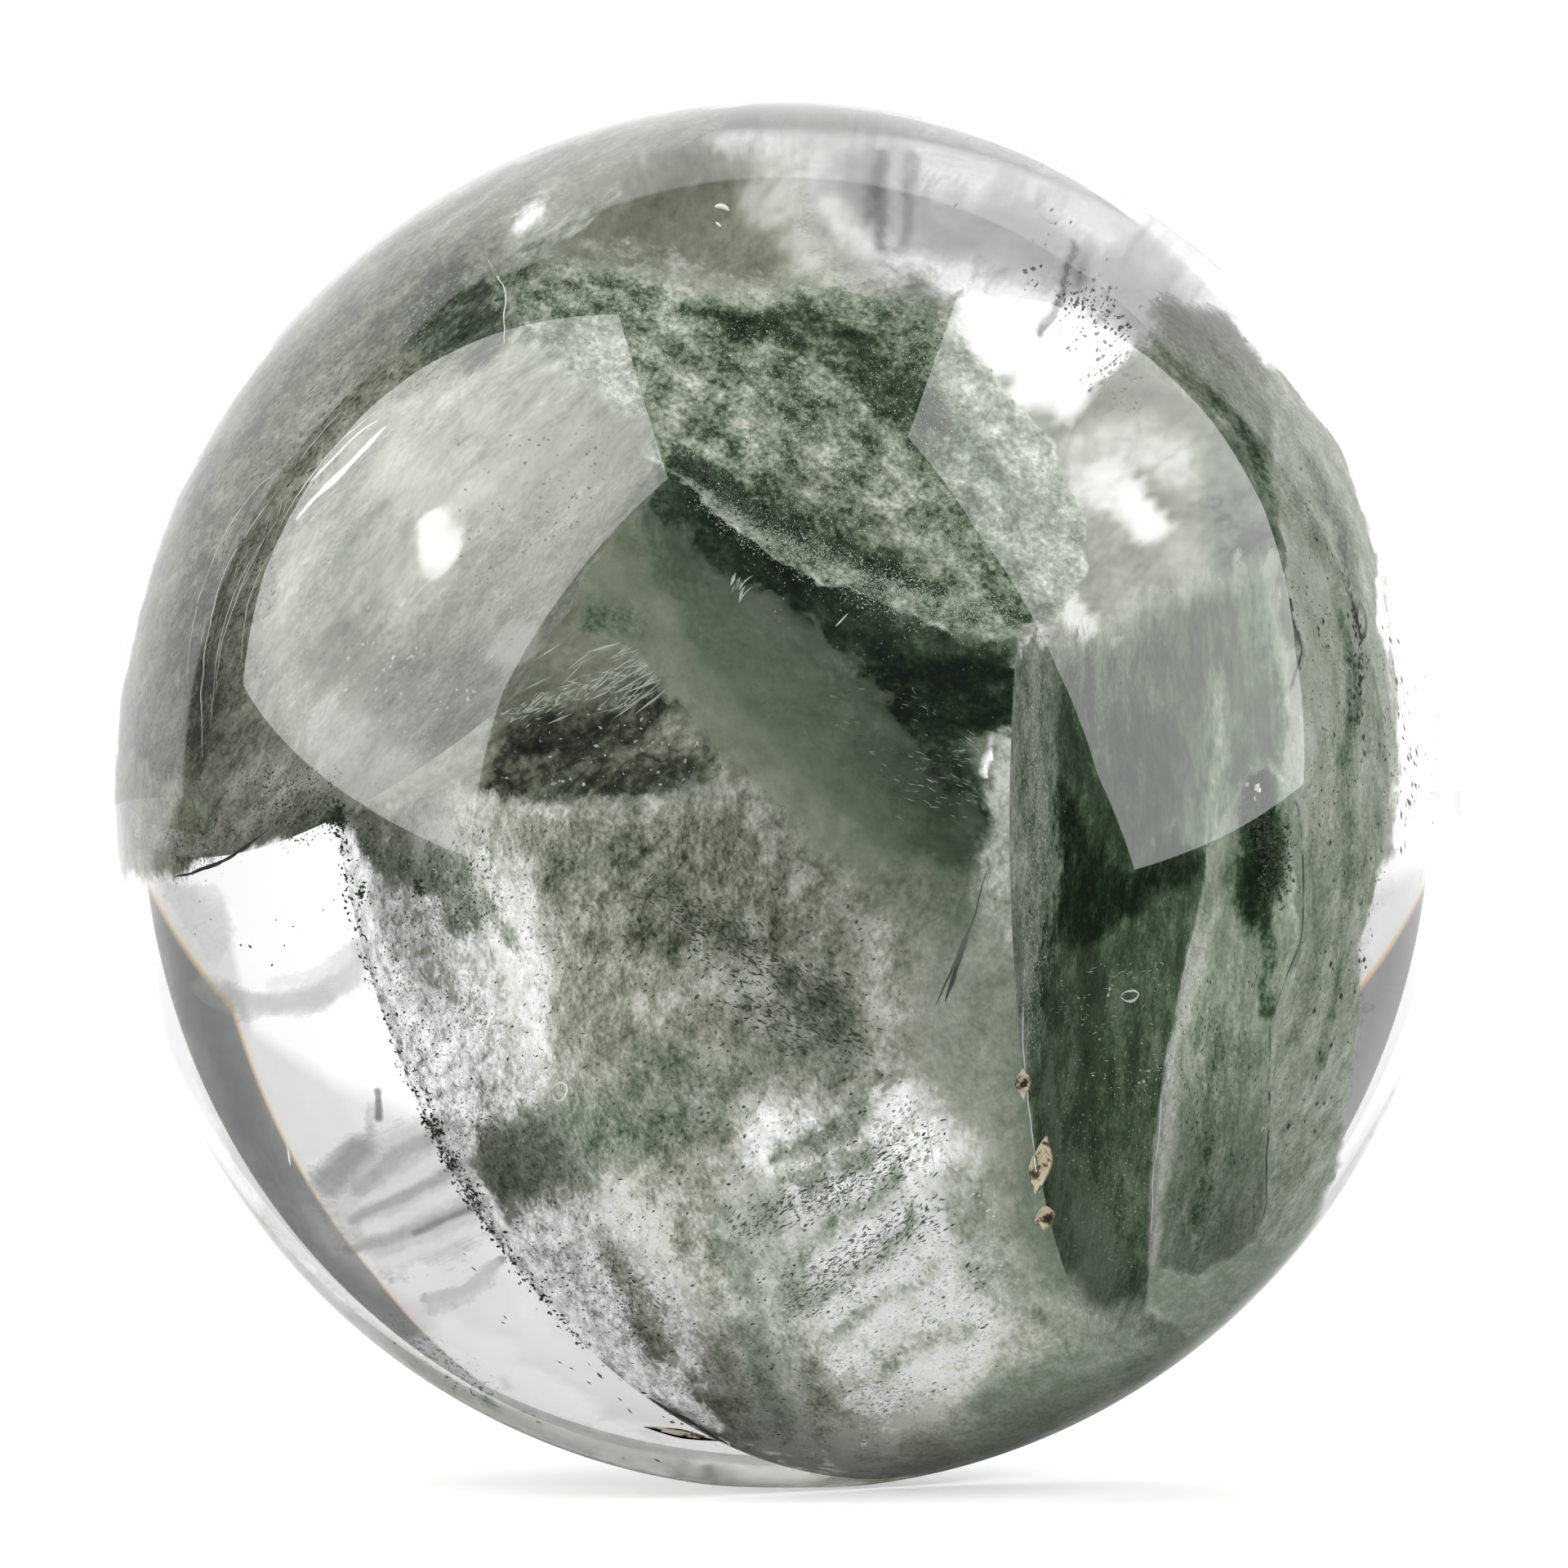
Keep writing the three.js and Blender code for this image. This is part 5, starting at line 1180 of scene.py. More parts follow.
def crust_material():
    """Cream and brown crust inside the open pits."""
    material, tree, shader = new_material("pit_crust")
    nodes = NodeMaker(tree)
    patches = nodes.noise(nodes.place(), *CRUST_NOISE)
    colour = nodes.ramp(nodes.math("ADD", patches, 0.5), CRUST_STOPS)
    tree.links.new(colour, shader.inputs["Base Color"])
    shader.inputs["Roughness"].default_value = CRUST_ROUGHNESS
    return material


class QUARTZ_PG_ball(bpy.types.PropertyGroup):
    long_axis: FloatProperty(
        name="Long axis", description="Longest width of the ball", default=LONG_AXIS * MM, min=0.001,
        subtype="DISTANCE", unit="LENGTH")
    short_axis: FloatProperty(
        name="Short axis", description="Shortest width of the ball", default=SHORT_AXIS * MM, min=0.001,
        subtype="DISTANCE", unit="LENGTH")
    lean: FloatProperty(
        name="Lean", description="How far the long axis leans to the left", default=math.radians(LEAN_DEG),
        subtype="ANGLE", unit="ROTATION")
    foot_radius: FloatProperty(
        name="Contact flat", description="Radius of the flat that the ball stands on",
        default=FOOT_RADIUS * MM, min=0.0, subtype="DISTANCE", unit="LENGTH")
    segments: IntProperty(
        name="Segments", description="How finely the skin is divided round the ball", default=256, min=32)
    ior: FloatProperty(
        name="Refraction", description="Index of refraction of the quartz", default=1.545, min=1.0, max=2.5)


class QUARTZ_PG_growth(bpy.types.PropertyGroup):
    divisions: IntProperty(
        name="Divisions", description="How finely each growth sheet is divided",
        default=230, min=20, max=300)
    mottle: FloatProperty(
        name="Mottling", description="Strength of the broad patches", default=1.0, min=0.0, max=3.0)
    speckle: FloatProperty(
        name="Speckle", description="Strength of the fine speckle", default=1.0, min=0.0, max=3.0)
    grain_share: FloatProperty(
        name="Grains", description="Share of the grains that are made", default=1.0, min=0.0, max=1.0,
        subtype="FACTOR")
    dark_grain: FloatVectorProperty(
        name="Dark grain", description="Colour of the dense chlorite grains", default=(0.018, 0.030, 0.012),
        min=0.0, max=1.0, subtype="COLOR")
    green_grain: FloatVectorProperty(
        name="Green grain", description="Colour of the thin chlorite flakes", default=(0.075, 0.115, 0.065),
        min=0.0, max=1.0, subtype="COLOR")
    pale_grain: FloatVectorProperty(
        name="Pale grain", description="Colour of the sugary quartz grains", default=(0.34, 0.40, 0.33),
        min=0.0, max=1.0, subtype="COLOR")
    # Near-white colour of the healed cracks: a painted glint of light off them
    glint: FloatVectorProperty(
        name="Crack", description="Colour of the healed cracks", default=(0.90, 0.92, 0.91),
        min=0.0, max=1.0, subtype="COLOR")


class QUARTZ_PG_studio(bpy.types.PropertyGroup):
    floor_colour: FloatVectorProperty(
        name="Floor", description="Colour of the floor", default=(0.9, 0.9, 0.9), min=0.0, max=1.0,
        subtype="COLOR")
    mirrored_light: FloatProperty(
        name="Mirrored light", description="Brightness of the softboxes where the skin mirrors them",
        default=4.0, min=0.0)
    soft_light: FloatProperty(
        name="Soft light", description="Brightness of the light that reaches the growth and the floor",
        default=1.5, min=0.0)
    lens: FloatProperty(
        name="Lens", description="Focal length of the camera in millimetres", default=310.0, min=1.0)


class QUARTZ_PG_settings(bpy.types.PropertyGroup):
    ball: PointerProperty(type=QUARTZ_PG_ball, name="Ball", description="Shape of the ball")
    growth: PointerProperty(type=QUARTZ_PG_growth, name="Growth", description="Growth inside the ball")
    studio: PointerProperty(type=QUARTZ_PG_studio, name="Studio", description="Floor, light and camera")


def pit_frame(shape, right, up, turn):
    """Middle of a pit on the skin, and the directions across it, along it and out of it."""
    spot = np.array([right, -math.sqrt(1 - right ** 2 - up ** 2), up])
    out = shape.outward(spot)
    side = np.cross(UP, out)
    side /= np.linalg.norm(side)
    rise = np.cross(out, side)
    angle = -math.radians(turn)
    along = rise * math.cos(angle) + np.cross(out, rise) * math.sin(angle)
    return shape.place(spot), np.stack([np.cross(along, out), along, out])


def add_pit_blob(shape, pit, grow=0.0):
    """Adds the long rounded shape of one pit as the active object."""
    right, up, length, width, depth, turn = pit
    middle, axes = pit_frame(shape, right, up, turn)
    bpy.ops.mesh.primitive_uv_sphere_add(segments=PIT_SEGMENTS, ring_count=PIT_RINGS, radius=1.0)
    blob = bpy.context.object
    size = np.array([width / 2 + grow, length / 2 + grow, depth + grow])
    corners = read_corners(blob.data)
    corners[:, [0, 2]] *= 1.0 - PIT_POINT * np.abs(corners[:, 1:2]) ** PIT_POINT_POWER
    write_corners(blob.data, (corners * size) @ axes + middle)
    return blob


class QUARTZ_OT_ball(bpy.types.Operator):
    """Makes the polished ball with its contact flat and its open pits."""

    bl_idname = "quartz.ball"
    bl_label = "Polished Ball"

    def execute(self, context):
        settings = context.scene.quartz_ball.ball
        shape = BallShape(settings)
        deselect_all()
        rings = settings.segments * 5 // 8
        bpy.ops.mesh.primitive_uv_sphere_add(segments=settings.segments, ring_count=rings, radius=1.0)
        ball = context.object
        write_corners(ball.data, shape.place(unit_rows(read_corners(ball.data))))
        bpy.ops.object.mode_set(mode="EDIT")
        bpy.ops.mesh.select_all(action="SELECT")
        bpy.ops.mesh.bisect(
            plane_co=(0, 0, FOOT_CUT), plane_no=UP, use_fill=True, clear_inner=True, threshold=WELD_DISTANCE)
        bpy.ops.object.mode_set(mode="OBJECT")
        for pit in PITS:
            deselect_all()
            blob = add_pit_blob(shape, pit)
            deselect_all()
            context.view_layer.objects.active = ball
            ball.select_set(True)
            cut = ball.modifiers.new("pit", "BOOLEAN")
            cut.operation = "DIFFERENCE"
            cut.solver = "EXACT"
            cut.object = blob
            bpy.ops.object.modifier_apply(modifier=cut.name)
            bpy.data.objects.remove(blob)
        bpy.ops.object.shade_smooth_by_angle(angle=math.radians(SMOOTH_ANGLE_DEG))
        own_piece(ball, "polished_ball", quartz_material(settings))
        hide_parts("quartz_ball", "quartz_cap")
        return {"FINISHED"}


class QUARTZ_OT_pit_crust(bpy.types.Operator):
    """Makes the cream and brown crust just under the open pits."""

    bl_idname = "quartz.pit_crust"
    bl_label = "Pit Crust"

    def execute(self, context):
        shape = BallShape(context.scene.quartz_ball.ball)
        deselect_all()
        crusts = []
        for pit in PITS:
            crust = add_pit_blob(shape, pit, grow=CRUST_GROWTH)
            corners = read_corners(crust.data) / MM
            delete_corners(crust, shape.share_out(corners) > CRUST_LIMIT)
            crusts.append(crust)
        deselect_all()
        for crust in crusts:
            crust.select_set(True)
        context.view_layer.objects.active = crusts[0]
        bpy.ops.object.join()
        bpy.ops.object.shade_smooth()
        own_piece(context.object, "pit_crust", crust_material())
        return {"FINISHED"}


# How the patterns run on each sheet, and how strong they are; what isn't given stays as it is by default
SHEET_LOOKS = {
    "main_phantom": {"stretch": 1.5, "mottle": 0.7, "hair": 0.7, "grey": 0.15},
    "upper_left_veil": {"stretch": 1.5, "speckle": 0.9, "hair": 0.7, "grey": 0.2},
    "sugary_ledge": {"stretch": 1.3, "mottle": 0.5, "speckle": 1.15, "hair": 0.5},
    "seam_wall": {"stretch": 1.5, "mottle": 0.8, "hair": 0.5},
    "inner_curtain": {"stretch": 2.4, "mottle": 0.5, "speckle": 0.85, "hair": 0.6},
    "back_veil": {"stretch": 2.0, "grey": 0.15},
    "low_left_veil": {"grey": 0.85},
    "top_haze": {"grey": 0.8},
    "right_rim_veil": {"stretch": 2.2},
}


def make_sheet(name, sheet, settings, material):
    bpy.ops.mesh.primitive_grid_add(
        x_subdivisions=settings.divisions, y_subdivisions=settings.divisions, size=2.0)
    piece = bpy.context.object
    spots = sheet.spread(read_corners(piece.data)[:, :2])
    places, _ = sheet.places(spots)
    growth = sheet.growth(spots, places)
    beyond = sheet.shape.share_out(places) > INSIDE_LIMIT + SHEET_TOLERANCE
    write_corners(piece.data, places)
    layer = piece.data.color_attributes.new("growth", "FLOAT_COLOR", "POINT")
    layer.data.foreach_set("color", growth.ravel())
    delete_corners(piece, beyond | (growth[:, 0] < THINNEST_COVER))
    bpy.ops.object.shade_smooth()
    own_piece(piece, name, material)
    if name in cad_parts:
        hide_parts(name)


class QUARTZ_OT_sheets(bpy.types.Operator):
    """Makes the growth sheets of chlorite and milky quartz inside the ball."""

    bl_idname = "quartz.sheets"
    bl_label = "Growth Sheets"

    def execute(self, context):
        settings = context.scene.quartz_ball.growth
        shape = BallShape(context.scene.quartz_ball.ball)
        for name, table in SHEETS.items():
            deselect_all()
            material = growth_material(name, settings, table["run"], **SHEET_LOOKS.get(name, {}))
            make_sheet(name, GrowthSheet(shape, table), settings, material)
        return {"FINISHED"}


def spots_along(random, path, spread, count):
    path = np.array(path, float)
    steps = np.diff(path, axis=0)
    lengths = np.linalg.norm(steps, axis=1)
    chosen = random.choice(len(steps), count, p=lengths / lengths.sum())
    spots = path[chosen] + steps[chosen] * random.random((count, 1))
    return spots + random.normal(0.0, spread * GRAIN_SPREAD, (count, 2))


def spots_within(random, path, count):
    """Random spots inside an outline, gathered into loose clouds."""
    path = np.array(path, float)
    low, high = path.min(axis=0), path.max(axis=0)
    spots = low + random.random((count * GRAIN_OVERSUPPLY, 2)) * (high - low)
    spots = spots[inside_path(spots, path)]
    level = cloud(np.column_stack([spots, np.zeros(len(spots))]), GRAIN_CLOUD_SIZE, GRAIN_CLOUD_SEED)
    spots = spots[random.random(len(spots)) < smooth_step(*GRAIN_CLOUD_EDGES, level) + STRAY_GRAINS]
    return spots[:count]


# Faces of one grain, between its six corners
GRAIN_FACES = np.array([
    (0, 2, 4), (2, 1, 4), (1, 3, 4), (3, 0, 4), (2, 0, 5), (1, 2, 5), (3, 1, 5), (0, 3, 5),
])


def grain_arrays(random, centres, sizes, along, stretch):
    """Eight-sided grains as corners and faces, each turned its own way."""
    count = len(centres)
    if along is None:
        long_way = random.normal(size=(count, 3))
    else:
        long_way = along + random.normal(0.0, GRAIN_TILT, (count, 3))
    long_way = unit_rows(long_way)
    side = unit_rows(np.cross(long_way, random.normal(size=(count, 3))))
    third = np.cross(long_way, side)
    long_way = long_way * (sizes * stretch)[:, None]
    side = side * (sizes * random.uniform(*GRAIN_WIDTHS, count))[:, None]
    third = third * (sizes * random.uniform(*GRAIN_THICKNESSES, count))[:, None]
    corners = np.stack([long_way, -long_way, side, -side, third, -third], axis=1) + centres[:, None]
    faces = GRAIN_FACES + np.arange(count)[:, None, None] * corners.shape[1]
    return corners.reshape(-1, 3), faces.reshape(-1, 3)


def grains_of(shape, number, row, share):
    """Corners and faces of one row of the grain table."""
    name, kind, tone, count, smallest, largest, stretch, turn, spread, depth, path = row
    random = np.random.default_rng(GRAIN_SEED + number)
    count = max(1, int(count * share))
    sheet = GrowthSheet(shape, SHEETS[name])
    spots = spots_along(random, path, spread, count) if kind == "line" else spots_within(random, path, count)
    places, away = sheet.places(spots)
    places = places + away * random.normal(0.0, depth * GRAIN_DEPTH, len(spots))[:, None]
    places = places[(shape.share_out(places) < GRAIN_LIMIT) & (places[:, 2] > LOWEST_GRAIN)]
    sizes = smallest + (largest - smallest) * random.random(len(places)) ** GRAIN_SIZE_POWER
    along = None
    if turn is not None:
        angle = math.radians(turn)
        along = sheet.across * math.cos(angle) + sheet.up * math.sin(angle)
    return grain_arrays(random, places, sizes, along, stretch)


class QUARTZ_OT_grains(bpy.types.Operator):
    """Makes the clouds of chlorite grains, flakes and sugary quartz grains."""

    bl_idname = "quartz.grains"
    bl_label = "Grains"

    def execute(self, context):
        settings = context.scene.quartz_ball.growth
        shape = BallShape(context.scene.quartz_ball.ball)
        materials = {
            "dark": grain_material("dark_grain", settings.dark_grain, settings.green_grain),
            "green": grain_material("green_flake", settings.green_grain, settings.green_grain),
            "pale": grain_material("pale_grain", settings.pale_grain, BRIGHT_SUGAR),
        }
        groups = {}
        for number, row in enumerate(GRAINS):
            sheet_name, tone = row[0], row[2]
            grains = grains_of(shape, number, row, settings.grain_share)
            groups.setdefault((sheet_name, tone), []).append(grains)
        for (sheet_name, tone), clouds in groups.items():
            join_parts(f"{tone}_grains_{sheet_name}", clouds, materials[tone])
        return {"FINISHED"}


def smooth_path(path):
    """Rounds the corners of a path and spaces its points evenly."""
    path = np.array(path, float)
    for _ in range(CRACK_ROUNDINGS):
        near, far = path[:-1] * 0.75 + path[1:] * 0.25, path[:-1] * 0.25 + path[1:] * 0.75
        path = np.concatenate([path[:1], np.stack([near, far], axis=1).reshape(-1, 2), path[-1:]])
    gaps = np.linalg.norm(np.diff(path, axis=0), axis=1)
    reach = np.concatenate([[0.0], np.cumsum(gaps)])
    steps = max(CRACK_LEAST_POINTS, int(reach[-1] / CRACK_SPACING))
    marks = np.linspace(0.0, reach[-1], steps)
    return np.column_stack([np.interp(marks, reach, path[:, 0]), np.interp(marks, reach, path[:, 1])])


def sliver_arrays(shape, number, row):
    """A long thin crack as corners and faces, pointed at both ends."""
    name, tone, width, lift, path = row
    sheet = GrowthSheet(shape, SHEETS[name])
    spots = smooth_path(path)
    places, away = sheet.places(spots, np.full(len(spots), lift))
    unit = shape.to_unit(places)
    radius = np.linalg.norm(unit, axis=1, keepdims=True)
    places = shape.place(unit * np.minimum(1.0, INSIDE_LIMIT / radius))
    places[:, 2] = np.maximum(places[:, 2], LOWEST_GRAIN)
    shiver = cloud(places, CRACK_WIDTH_SIZE, CRACK_WIDTH_SEED + number)
    side = unit_rows(np.cross(unit_rows(np.gradient(places, axis=0)), away))
    bend = (cloud(places, CRACK_BEND_SIZE, CRACK_BEND_SEED + number) - 0.5) * CRACK_BEND
    places = places + side * bend[:, None]
    taper = np.sqrt(np.sin(np.linspace(CRACK_TIP, math.pi - CRACK_TIP, len(spots))))
    thinnest, added = CRACK_WIDTHS
    half = (width / 2 * taper * (thinnest + added * shiver))[:, None]
    thick = np.minimum(half, CRACK_THICKNESS)
    corners = np.stack([side * half, away * thick, -side * half, -away * thick], axis=1) + places[:, None]
    faces = []
    for ring in range(len(spots) - 1):
        for corner in range(4):
            after = (corner + 1) % 4
            faces.append((ring * 4 + corner, ring * 4 + 4 + corner, ring * 4 + 4 + after, ring * 4 + after))
    last = (len(spots) - 1) * 4
    faces.append((0, 1, 2, 3))
    faces.append((last + 3, last + 2, last + 1, last))
    return corners.reshape(-1, 3), np.array(faces)


class QUARTZ_OT_cracks(bpy.types.Operator):
    """Makes the healed cracks, painted near-white as a glint of light off them, and the dark flaws inside
    the ball.
    """

    bl_idname = "quartz.cracks"
    bl_label = "Cracks"

    def execute(self, context):
        settings = context.scene.quartz_ball.growth
        shape = BallShape(context.scene.quartz_ball.ball)
        # The cracks' near-white colour is a painted glint of light off them
        dull = [DULLEST_GLINT * part for part in settings.glint]
        materials = {
            "glint": grain_material("glint_crack", dull, settings.glint, GLINT_ROUGHNESS),
            "dark": grain_material("dark_crack", *DARK_CRACK),
        }
        groups = {}
        for number, row in enumerate(SLIVERS):
            tone = row[1]
            groups.setdefault(tone, []).append(sliver_arrays(shape, number, row))
        for tone, slivers in groups.items():
            join_parts(f"{tone}_cracks", slivers, materials[tone])
        return {"FINISHED"}


# Softboxes: azimuth and elevation in degrees, then the outline as seen from the ball, in metres
LEFT_SOFTBOX = (-75.3, 30.8, [
    (0.296, -0.511), (0.295, -0.16), (0.333, 0.055), (0.375, 0.343), (-0.067, 0.502), (-0.208, 0.341),
    (-0.29, 0.234), (-0.337, 0.151), (-0.365, 0.044), (-0.385, -0.061), (-0.373, -0.206),
])
RIGHT_SOFTBOX = (80.0, 34.0, [
    (-0.289, -0.589), (-0.354, -0.356), (-0.361, -0.133), (-0.35, 0.154), (-0.303, 0.371), (0.105, 0.451),
    (0.23, 0.336), (0.282, 0.196), (0.293, 0.09), (0.28, -0.018), (0.217, -0.197), (0.211, -0.382),
])

# Painted shades and a painted glow on the floor round the ball, each as a slope over metres, where it
# starts, and how strong it is
PAINTED_RIM_SHADOW = (285.0, -7.1, 0.82)
PAINTED_MIRROR_SHADE = (12.0, 0.1, 0.95)
PAINTED_MIRROR_SHADE_SPREAD = 0.66
PAINTED_FLOOR_GLOW = (60.0, -0.5, 0.25)
FLOOR_ROUGHNESS = 0.8

# The panel behind the ball, seen from its middle: sideways and upwards over the distance ahead
LEAST_AHEAD = 0.001
PANEL_SIDE = 1.15
PANEL_TOP = 2.95
PANEL_WIDENING = (0.6, -0.8, 0.35)
TABLE_EDGE = 0.575
TABLE_SLOPE = 0.12
ROOM_SIDE = 2.25
EDGE_SHARPNESS = 6.0
CORE_SIDE = 1.04
CORE_TOP = 0.45
CORE_FOOT = 0.2
CORE_SHARPNESS = 18.0
RING_SIDE = 1.5
RING_TOP = 1.6
RING_SHARPNESS = 14.0
CORE_LIGHT = (1.12, 1.12, 1.12)
RING_LIGHT = (1.25, 1.25, 1.25)
RING_DARK = (0.16, 0.16, 0.17)
PANEL_STOPS = [
    (0.0, (0.82, 0.82, 0.83)),
    (0.35, (0.80, 0.79, 0.77)),
    (0.5, (0.70, 0.48, 0.28)),
    (0.62, (0.26, 0.26, 0.27)),
    (1.0, (0.24, 0.24, 0.25)),
]


def floor_card(shape, outline):
    """The part of a softbox outline below the floor, moved on to the floor where the skin mirrors it."""
    ball_middle = Vector(shape.centre * MM)
    card = []
    for begin, end in zip(outline, outline[1:] + outline[:1]):
        if begin.z < CARD_HEIGHT:
            way = (begin - ball_middle).normalized() + Vector((0, -1, 0))
            spot = ball_middle + way.normalized() * shape.half_short * MM
            card.append(spot + (begin - spot) * ((spot.z - CARD_HEIGHT) / (spot.z - begin.z)))
        if (begin.z < CARD_HEIGHT) != (end.z < CARD_HEIGHT):
            card.append(begin + (end - begin) * ((CARD_HEIGHT - begin.z) / (end.z - begin.z)))
    return card


def make_softbox(name, shape, box, settings):
    azimuth, elevation, outline = box
    azimuth, elevation = math.radians(azimuth), math.radians(elevation)
    out = Vector((
        math.sin(azimuth) * math.cos(elevation),
        -math.cos(azimuth) * math.cos(elevation),
        math.sin(elevation),
    ))
    across = Vector(UP).cross(out).normalized()
    up = out.cross(across)
    middle = Vector(shape.centre * MM) + out * SOFTBOX_DISTANCE
    panel = [middle + across * p + up * q for p, q in outline]
    card = floor_card(shape, panel)
    mesh = bpy.data.meshes.new(name)
    faces = [list(range(len(panel))), list(range(len(panel), len(panel) + len(card)))]
    mesh.from_pydata(panel + card, [], faces)
    softbox = new_object(name, mesh)
    material = bpy.data.materials.new(name)
    material.use_nodes = True
    material.cycles.emission_sampling = "NONE"
    tree = material.node_tree
    tree.nodes.clear()
    nodes = NodeMaker(tree)
    light = nodes.add("ShaderNodeEmission")
    mirrored, _ = nodes.unscattered()
    extra = settings.mirrored_light - settings.soft_light
    strength = nodes.math("MULTIPLY_ADD", mirrored, extra, settings.soft_light)
    nodes.join(strength, light.inputs["Strength"])
    output = nodes.add("ShaderNodeOutputMaterial")
    nodes.join(light.outputs[0], output.inputs[0])
    mesh.materials.append(material)
    softbox.visible_camera = False


def make_floor(settings):
    bpy.ops.mesh.primitive_circle_add(vertices=FLOOR_CORNERS, radius=FLOOR_RADIUS, fill_type="NGON")
    floor = bpy.context.object
    floor.name = "floor"
    material, tree, shader = new_material("floor")
    nodes = NodeMaker(tree)
    shader.inputs["Roughness"].default_value = FLOOR_ROUGHNESS
    shader.inputs["Specular IOR Level"].default_value = 0.0
    shader.inputs["Emission Color"].default_value = (1.0, 1.0, 1.0, 1.0)
    spot = nodes.add("ShaderNodeTexCoord")
    away = nodes.add("ShaderNodeVectorMath", operation="LENGTH")
    nodes.join(spot.outputs["Object"], away.inputs[0])
    parts = nodes.add("ShaderNodeSeparateXYZ")
    nodes.join(spot.outputs["Object"], parts.inputs[0])
    # Painted shadow of the ball: the floor's colour is darkened within about 25 to 28 mm of the ball, for
    # light that has passed through the ball
    slope, start, strength = PAINTED_RIM_SHADOW
    shaded = nodes.math("MULTIPLY_ADD", away.outputs["Value"], slope, start, clamp=True)
    shaded = nodes.math("MULTIPLY_ADD", shaded, strength, -strength)
    # Painted reflection shade: where the skin mirrors the floor, its colour is darkened to a twentieth,
    # apart from a wedge behind the ball
    sideways = nodes.math("MULTIPLY", nodes.math("ABSOLUTE", parts.outputs[0]), PAINTED_MIRROR_SHADE_SPREAD)
    beyond = nodes.math("SUBTRACT", parts.outputs[1], sideways)
    slope, start, strength = PAINTED_MIRROR_SHADE
    beyond = nodes.math("MULTIPLY_ADD", beyond, slope, start, clamp=True)
    beyond = nodes.math("MULTIPLY_ADD", beyond, strength, -strength)
    mirrored, refracted = nodes.unscattered()
    level = nodes.math("MULTIPLY_ADD", refracted, shaded, 1.0)
    level = nodes.math("MULTIPLY", level, nodes.math("MULTIPLY_ADD", mirrored, beyond, 1.0))
    # The floor's colour carries the painted shadow and the painted reflection shade
    seen = nodes.mix_colour(level, (0.0, 0.0, 0.0), tuple(settings.floor_colour))
    nodes.join(seen, shader.inputs["Base Color"])
    # Painted glow: the floor gives off light of its own, none within about 8 mm of the ball, full about 25
    # mm out, lowered by the painted shades
    slope, start, strength = PAINTED_FLOOR_GLOW
    glow = nodes.math("MULTIPLY_ADD", away.outputs["Value"], slope, start, clamp=True)
    glow = nodes.math("MULTIPLY", glow, strength)
    nodes.join(nodes.math("MULTIPLY", glow, level), shader.inputs["Emission Strength"])
    material.cycles.emission_sampling = "NONE"
    floor.data.materials.append(material)


def make_world(scene, soft_light):
    """A white panel behind the ball, with a soft warm fringe, and dim surroundings."""
    world = bpy.data.worlds.new("studio")
    scene.world = world
    world.use_nodes = True
    world.cycles.sampling_method = "NONE"
    nodes = NodeMaker(world.node_tree)
    coordinates = nodes.add("ShaderNodeTexCoord")
    parts = nodes.add("ShaderNodeSeparateXYZ")
    nodes.join(coordinates.outputs["Generated"], parts.inputs[0])
    x, y, z = parts.outputs
    ahead = nodes.math("MAXIMUM", nodes.math("ABSOLUTE", y), LEAST_AHEAD)
    side = nodes.math("DIVIDE", nodes.math("ABSOLUTE", x), ahead)
    high = nodes.math("DIVIDE", z, ahead)
    behind = nodes.math("LESS_THAN", y, 0.0)
    slope, start, widening = PANEL_WIDENING
    widened = nodes.math("MULTIPLY_ADD", high, slope, start, clamp=True)
    limit = nodes.math("MULTIPLY_ADD", widened, widening, PANEL_SIDE)
    panel = nodes.outside_corner(side, limit, high, PANEL_TOP)
    table = nodes.math("MULTIPLY_ADD", side, TABLE_SLOPE, nodes.math("SUBTRACT", high, TABLE_EDGE))
    outside = nodes.math("SUBTRACT", ROOM_SIDE, side)
    edge = nodes.math("MINIMUM", nodes.math("MINIMUM", panel, table), outside)
    share = nodes.math("MULTIPLY_ADD", edge, EDGE_SHARPNESS, 0.5, clamp=True)
    through = nodes.ramp(share, PANEL_STOPS)
    core = nodes.outside_corner(side, CORE_SIDE, high, CORE_TOP)
    core = nodes.math("MULTIPLY", core, -1.0)
    core = nodes.math("MAXIMUM", core, nodes.math("SUBTRACT", side, ROOM_SIDE))
    core = nodes.math("MAXIMUM", core, nodes.math("SUBTRACT", CORE_FOOT, high))
    core = nodes.math("MULTIPLY_ADD", core, CORE_SHARPNESS, 0.5, clamp=True)
    through = nodes.mix_colour(core, through, CORE_LIGHT)
    ring = nodes.outside_corner(side, RING_SIDE, high, RING_TOP)
    ring = nodes.math("MAXIMUM", nodes.math("MULTIPLY_ADD", ring, RING_SHARPNESS, 0.5, clamp=True), behind)
    ring = nodes.mix_colour(ring, RING_LIGHT, RING_DARK)
    mirrored, refracted = nodes.unscattered()
    colour = nodes.mix_colour(refracted, (soft_light,) * 3, through)
    colour = nodes.mix_colour(mirrored, colour, ring)
    nodes.join(colour, world.node_tree.nodes["Background"].inputs["Color"])


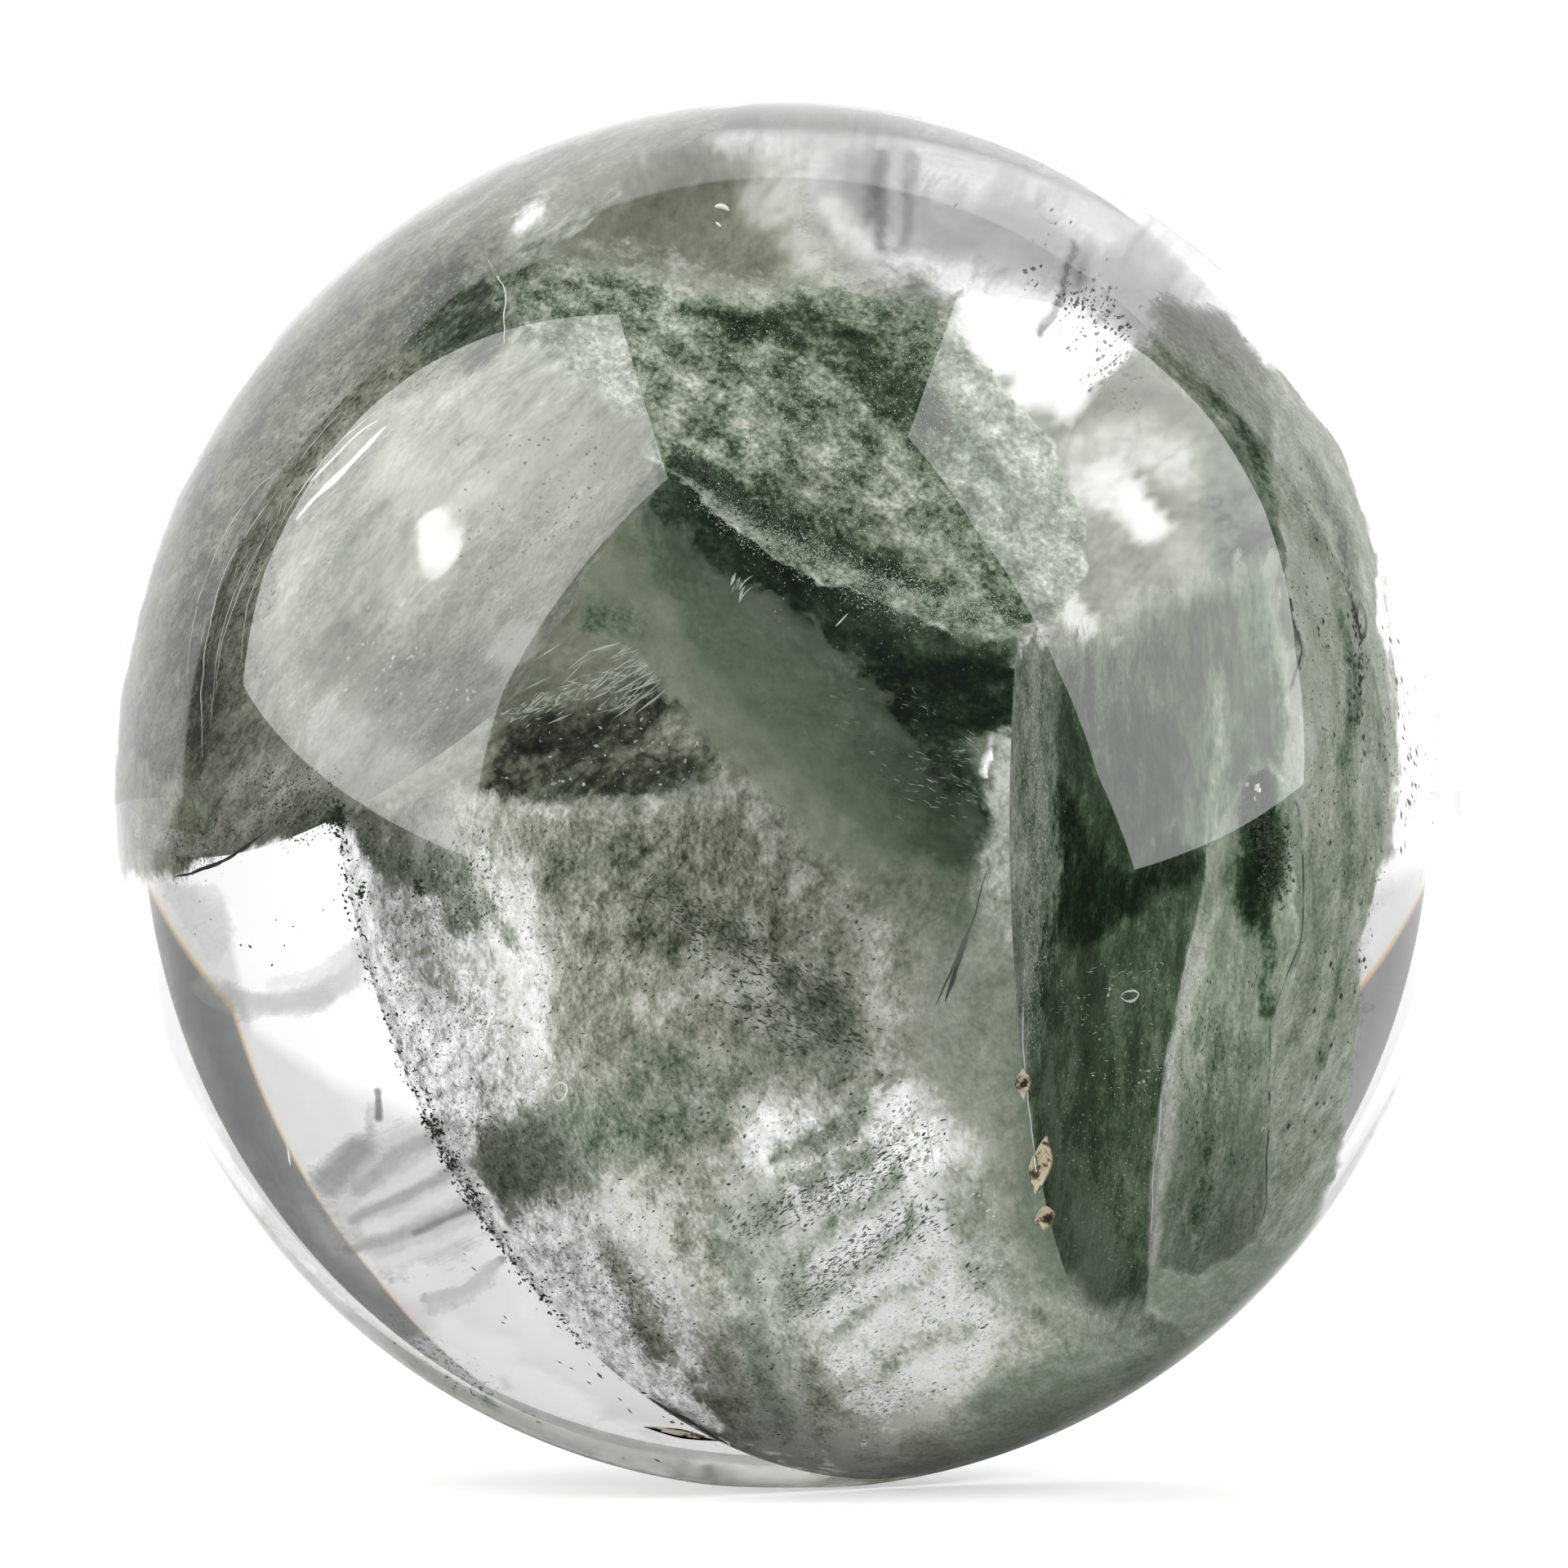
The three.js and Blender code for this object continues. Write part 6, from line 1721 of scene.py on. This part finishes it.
class QUARTZ_OT_studio(bpy.types.Operator):
    """Makes the pale floor, the soft lights, the camera and the world."""

    bl_idname = "quartz.studio"
    bl_label = "Studio"

    def execute(self, context):
        scene = context.scene
        settings = scene.quartz_ball.studio
        shape = BallShape(scene.quartz_ball.ball)
        deselect_all()
        make_floor(settings)
        make_softbox("softbox_left", shape, LEFT_SOFTBOX, settings)
        make_softbox("softbox_right", shape, RIGHT_SOFTBOX, settings)
        make_world(scene, settings.soft_light)
        camera = new_object("camera", bpy.data.cameras.new("camera"))
        scene.camera = camera
        camera.data.sensor_width = SENSOR_WIDTH
        camera.data.lens = settings.lens
        camera.location = Vector(CAMERA_PLACE) * MM
        camera.rotation_euler = (math.radians(90), 0, 0)
        scene.view_settings.view_transform = "Standard"
        scene.cycles.transparent_max_bounces = 32
        scene.cycles.max_bounces = 12
        scene.cycles.diffuse_bounces = 4
        scene.cycles.blur_glossy = 0.0
        return {"FINISHED"}


OPERATORS = (
    QUARTZ_OT_studio,
    QUARTZ_OT_ball,
    QUARTZ_OT_pit_crust,
    QUARTZ_OT_sheets,
    QUARTZ_OT_grains,
    QUARTZ_OT_cracks,
)


class QUARTZ_PT_panel(bpy.types.Panel):
    """Lists the steps and sizes of the quartz ball."""

    bl_idname = "QUARTZ_PT_panel"
    bl_label = "Quartz Ball"
    bl_space_type = "VIEW_3D"
    bl_region_type = "UI"
    bl_category = "Quartz Ball"

    def draw(self, context):
        settings = context.scene.quartz_ball
        for group in (settings.ball, settings.growth, settings.studio):
            box = self.layout.box()
            for name in group.__annotations__:
                box.prop(group, name)
        for operator in OPERATORS:
            self.layout.operator(operator.bl_idname)


PROPERTY_GROUPS = (QUARTZ_PG_ball, QUARTZ_PG_growth, QUARTZ_PG_studio, QUARTZ_PG_settings)
CLASSES = PROPERTY_GROUPS + OPERATORS + (QUARTZ_PT_panel,)


def register():
    for part in CLASSES:
        bpy.utils.register_class(part)
    bpy.types.Scene.quartz_ball = PointerProperty(type=QUARTZ_PG_settings)


def unregister():
    del bpy.types.Scene.quartz_ball
    for part in reversed(CLASSES):
        bpy.utils.unregister_class(part)


def main():
    register()
    bpy.ops.quartz.studio()
    bpy.ops.quartz.ball()
    bpy.ops.quartz.pit_crust()
    bpy.ops.quartz.sheets()
    bpy.ops.quartz.grains()
    bpy.ops.quartz.cracks()


if __name__ == "__main__":
    main()
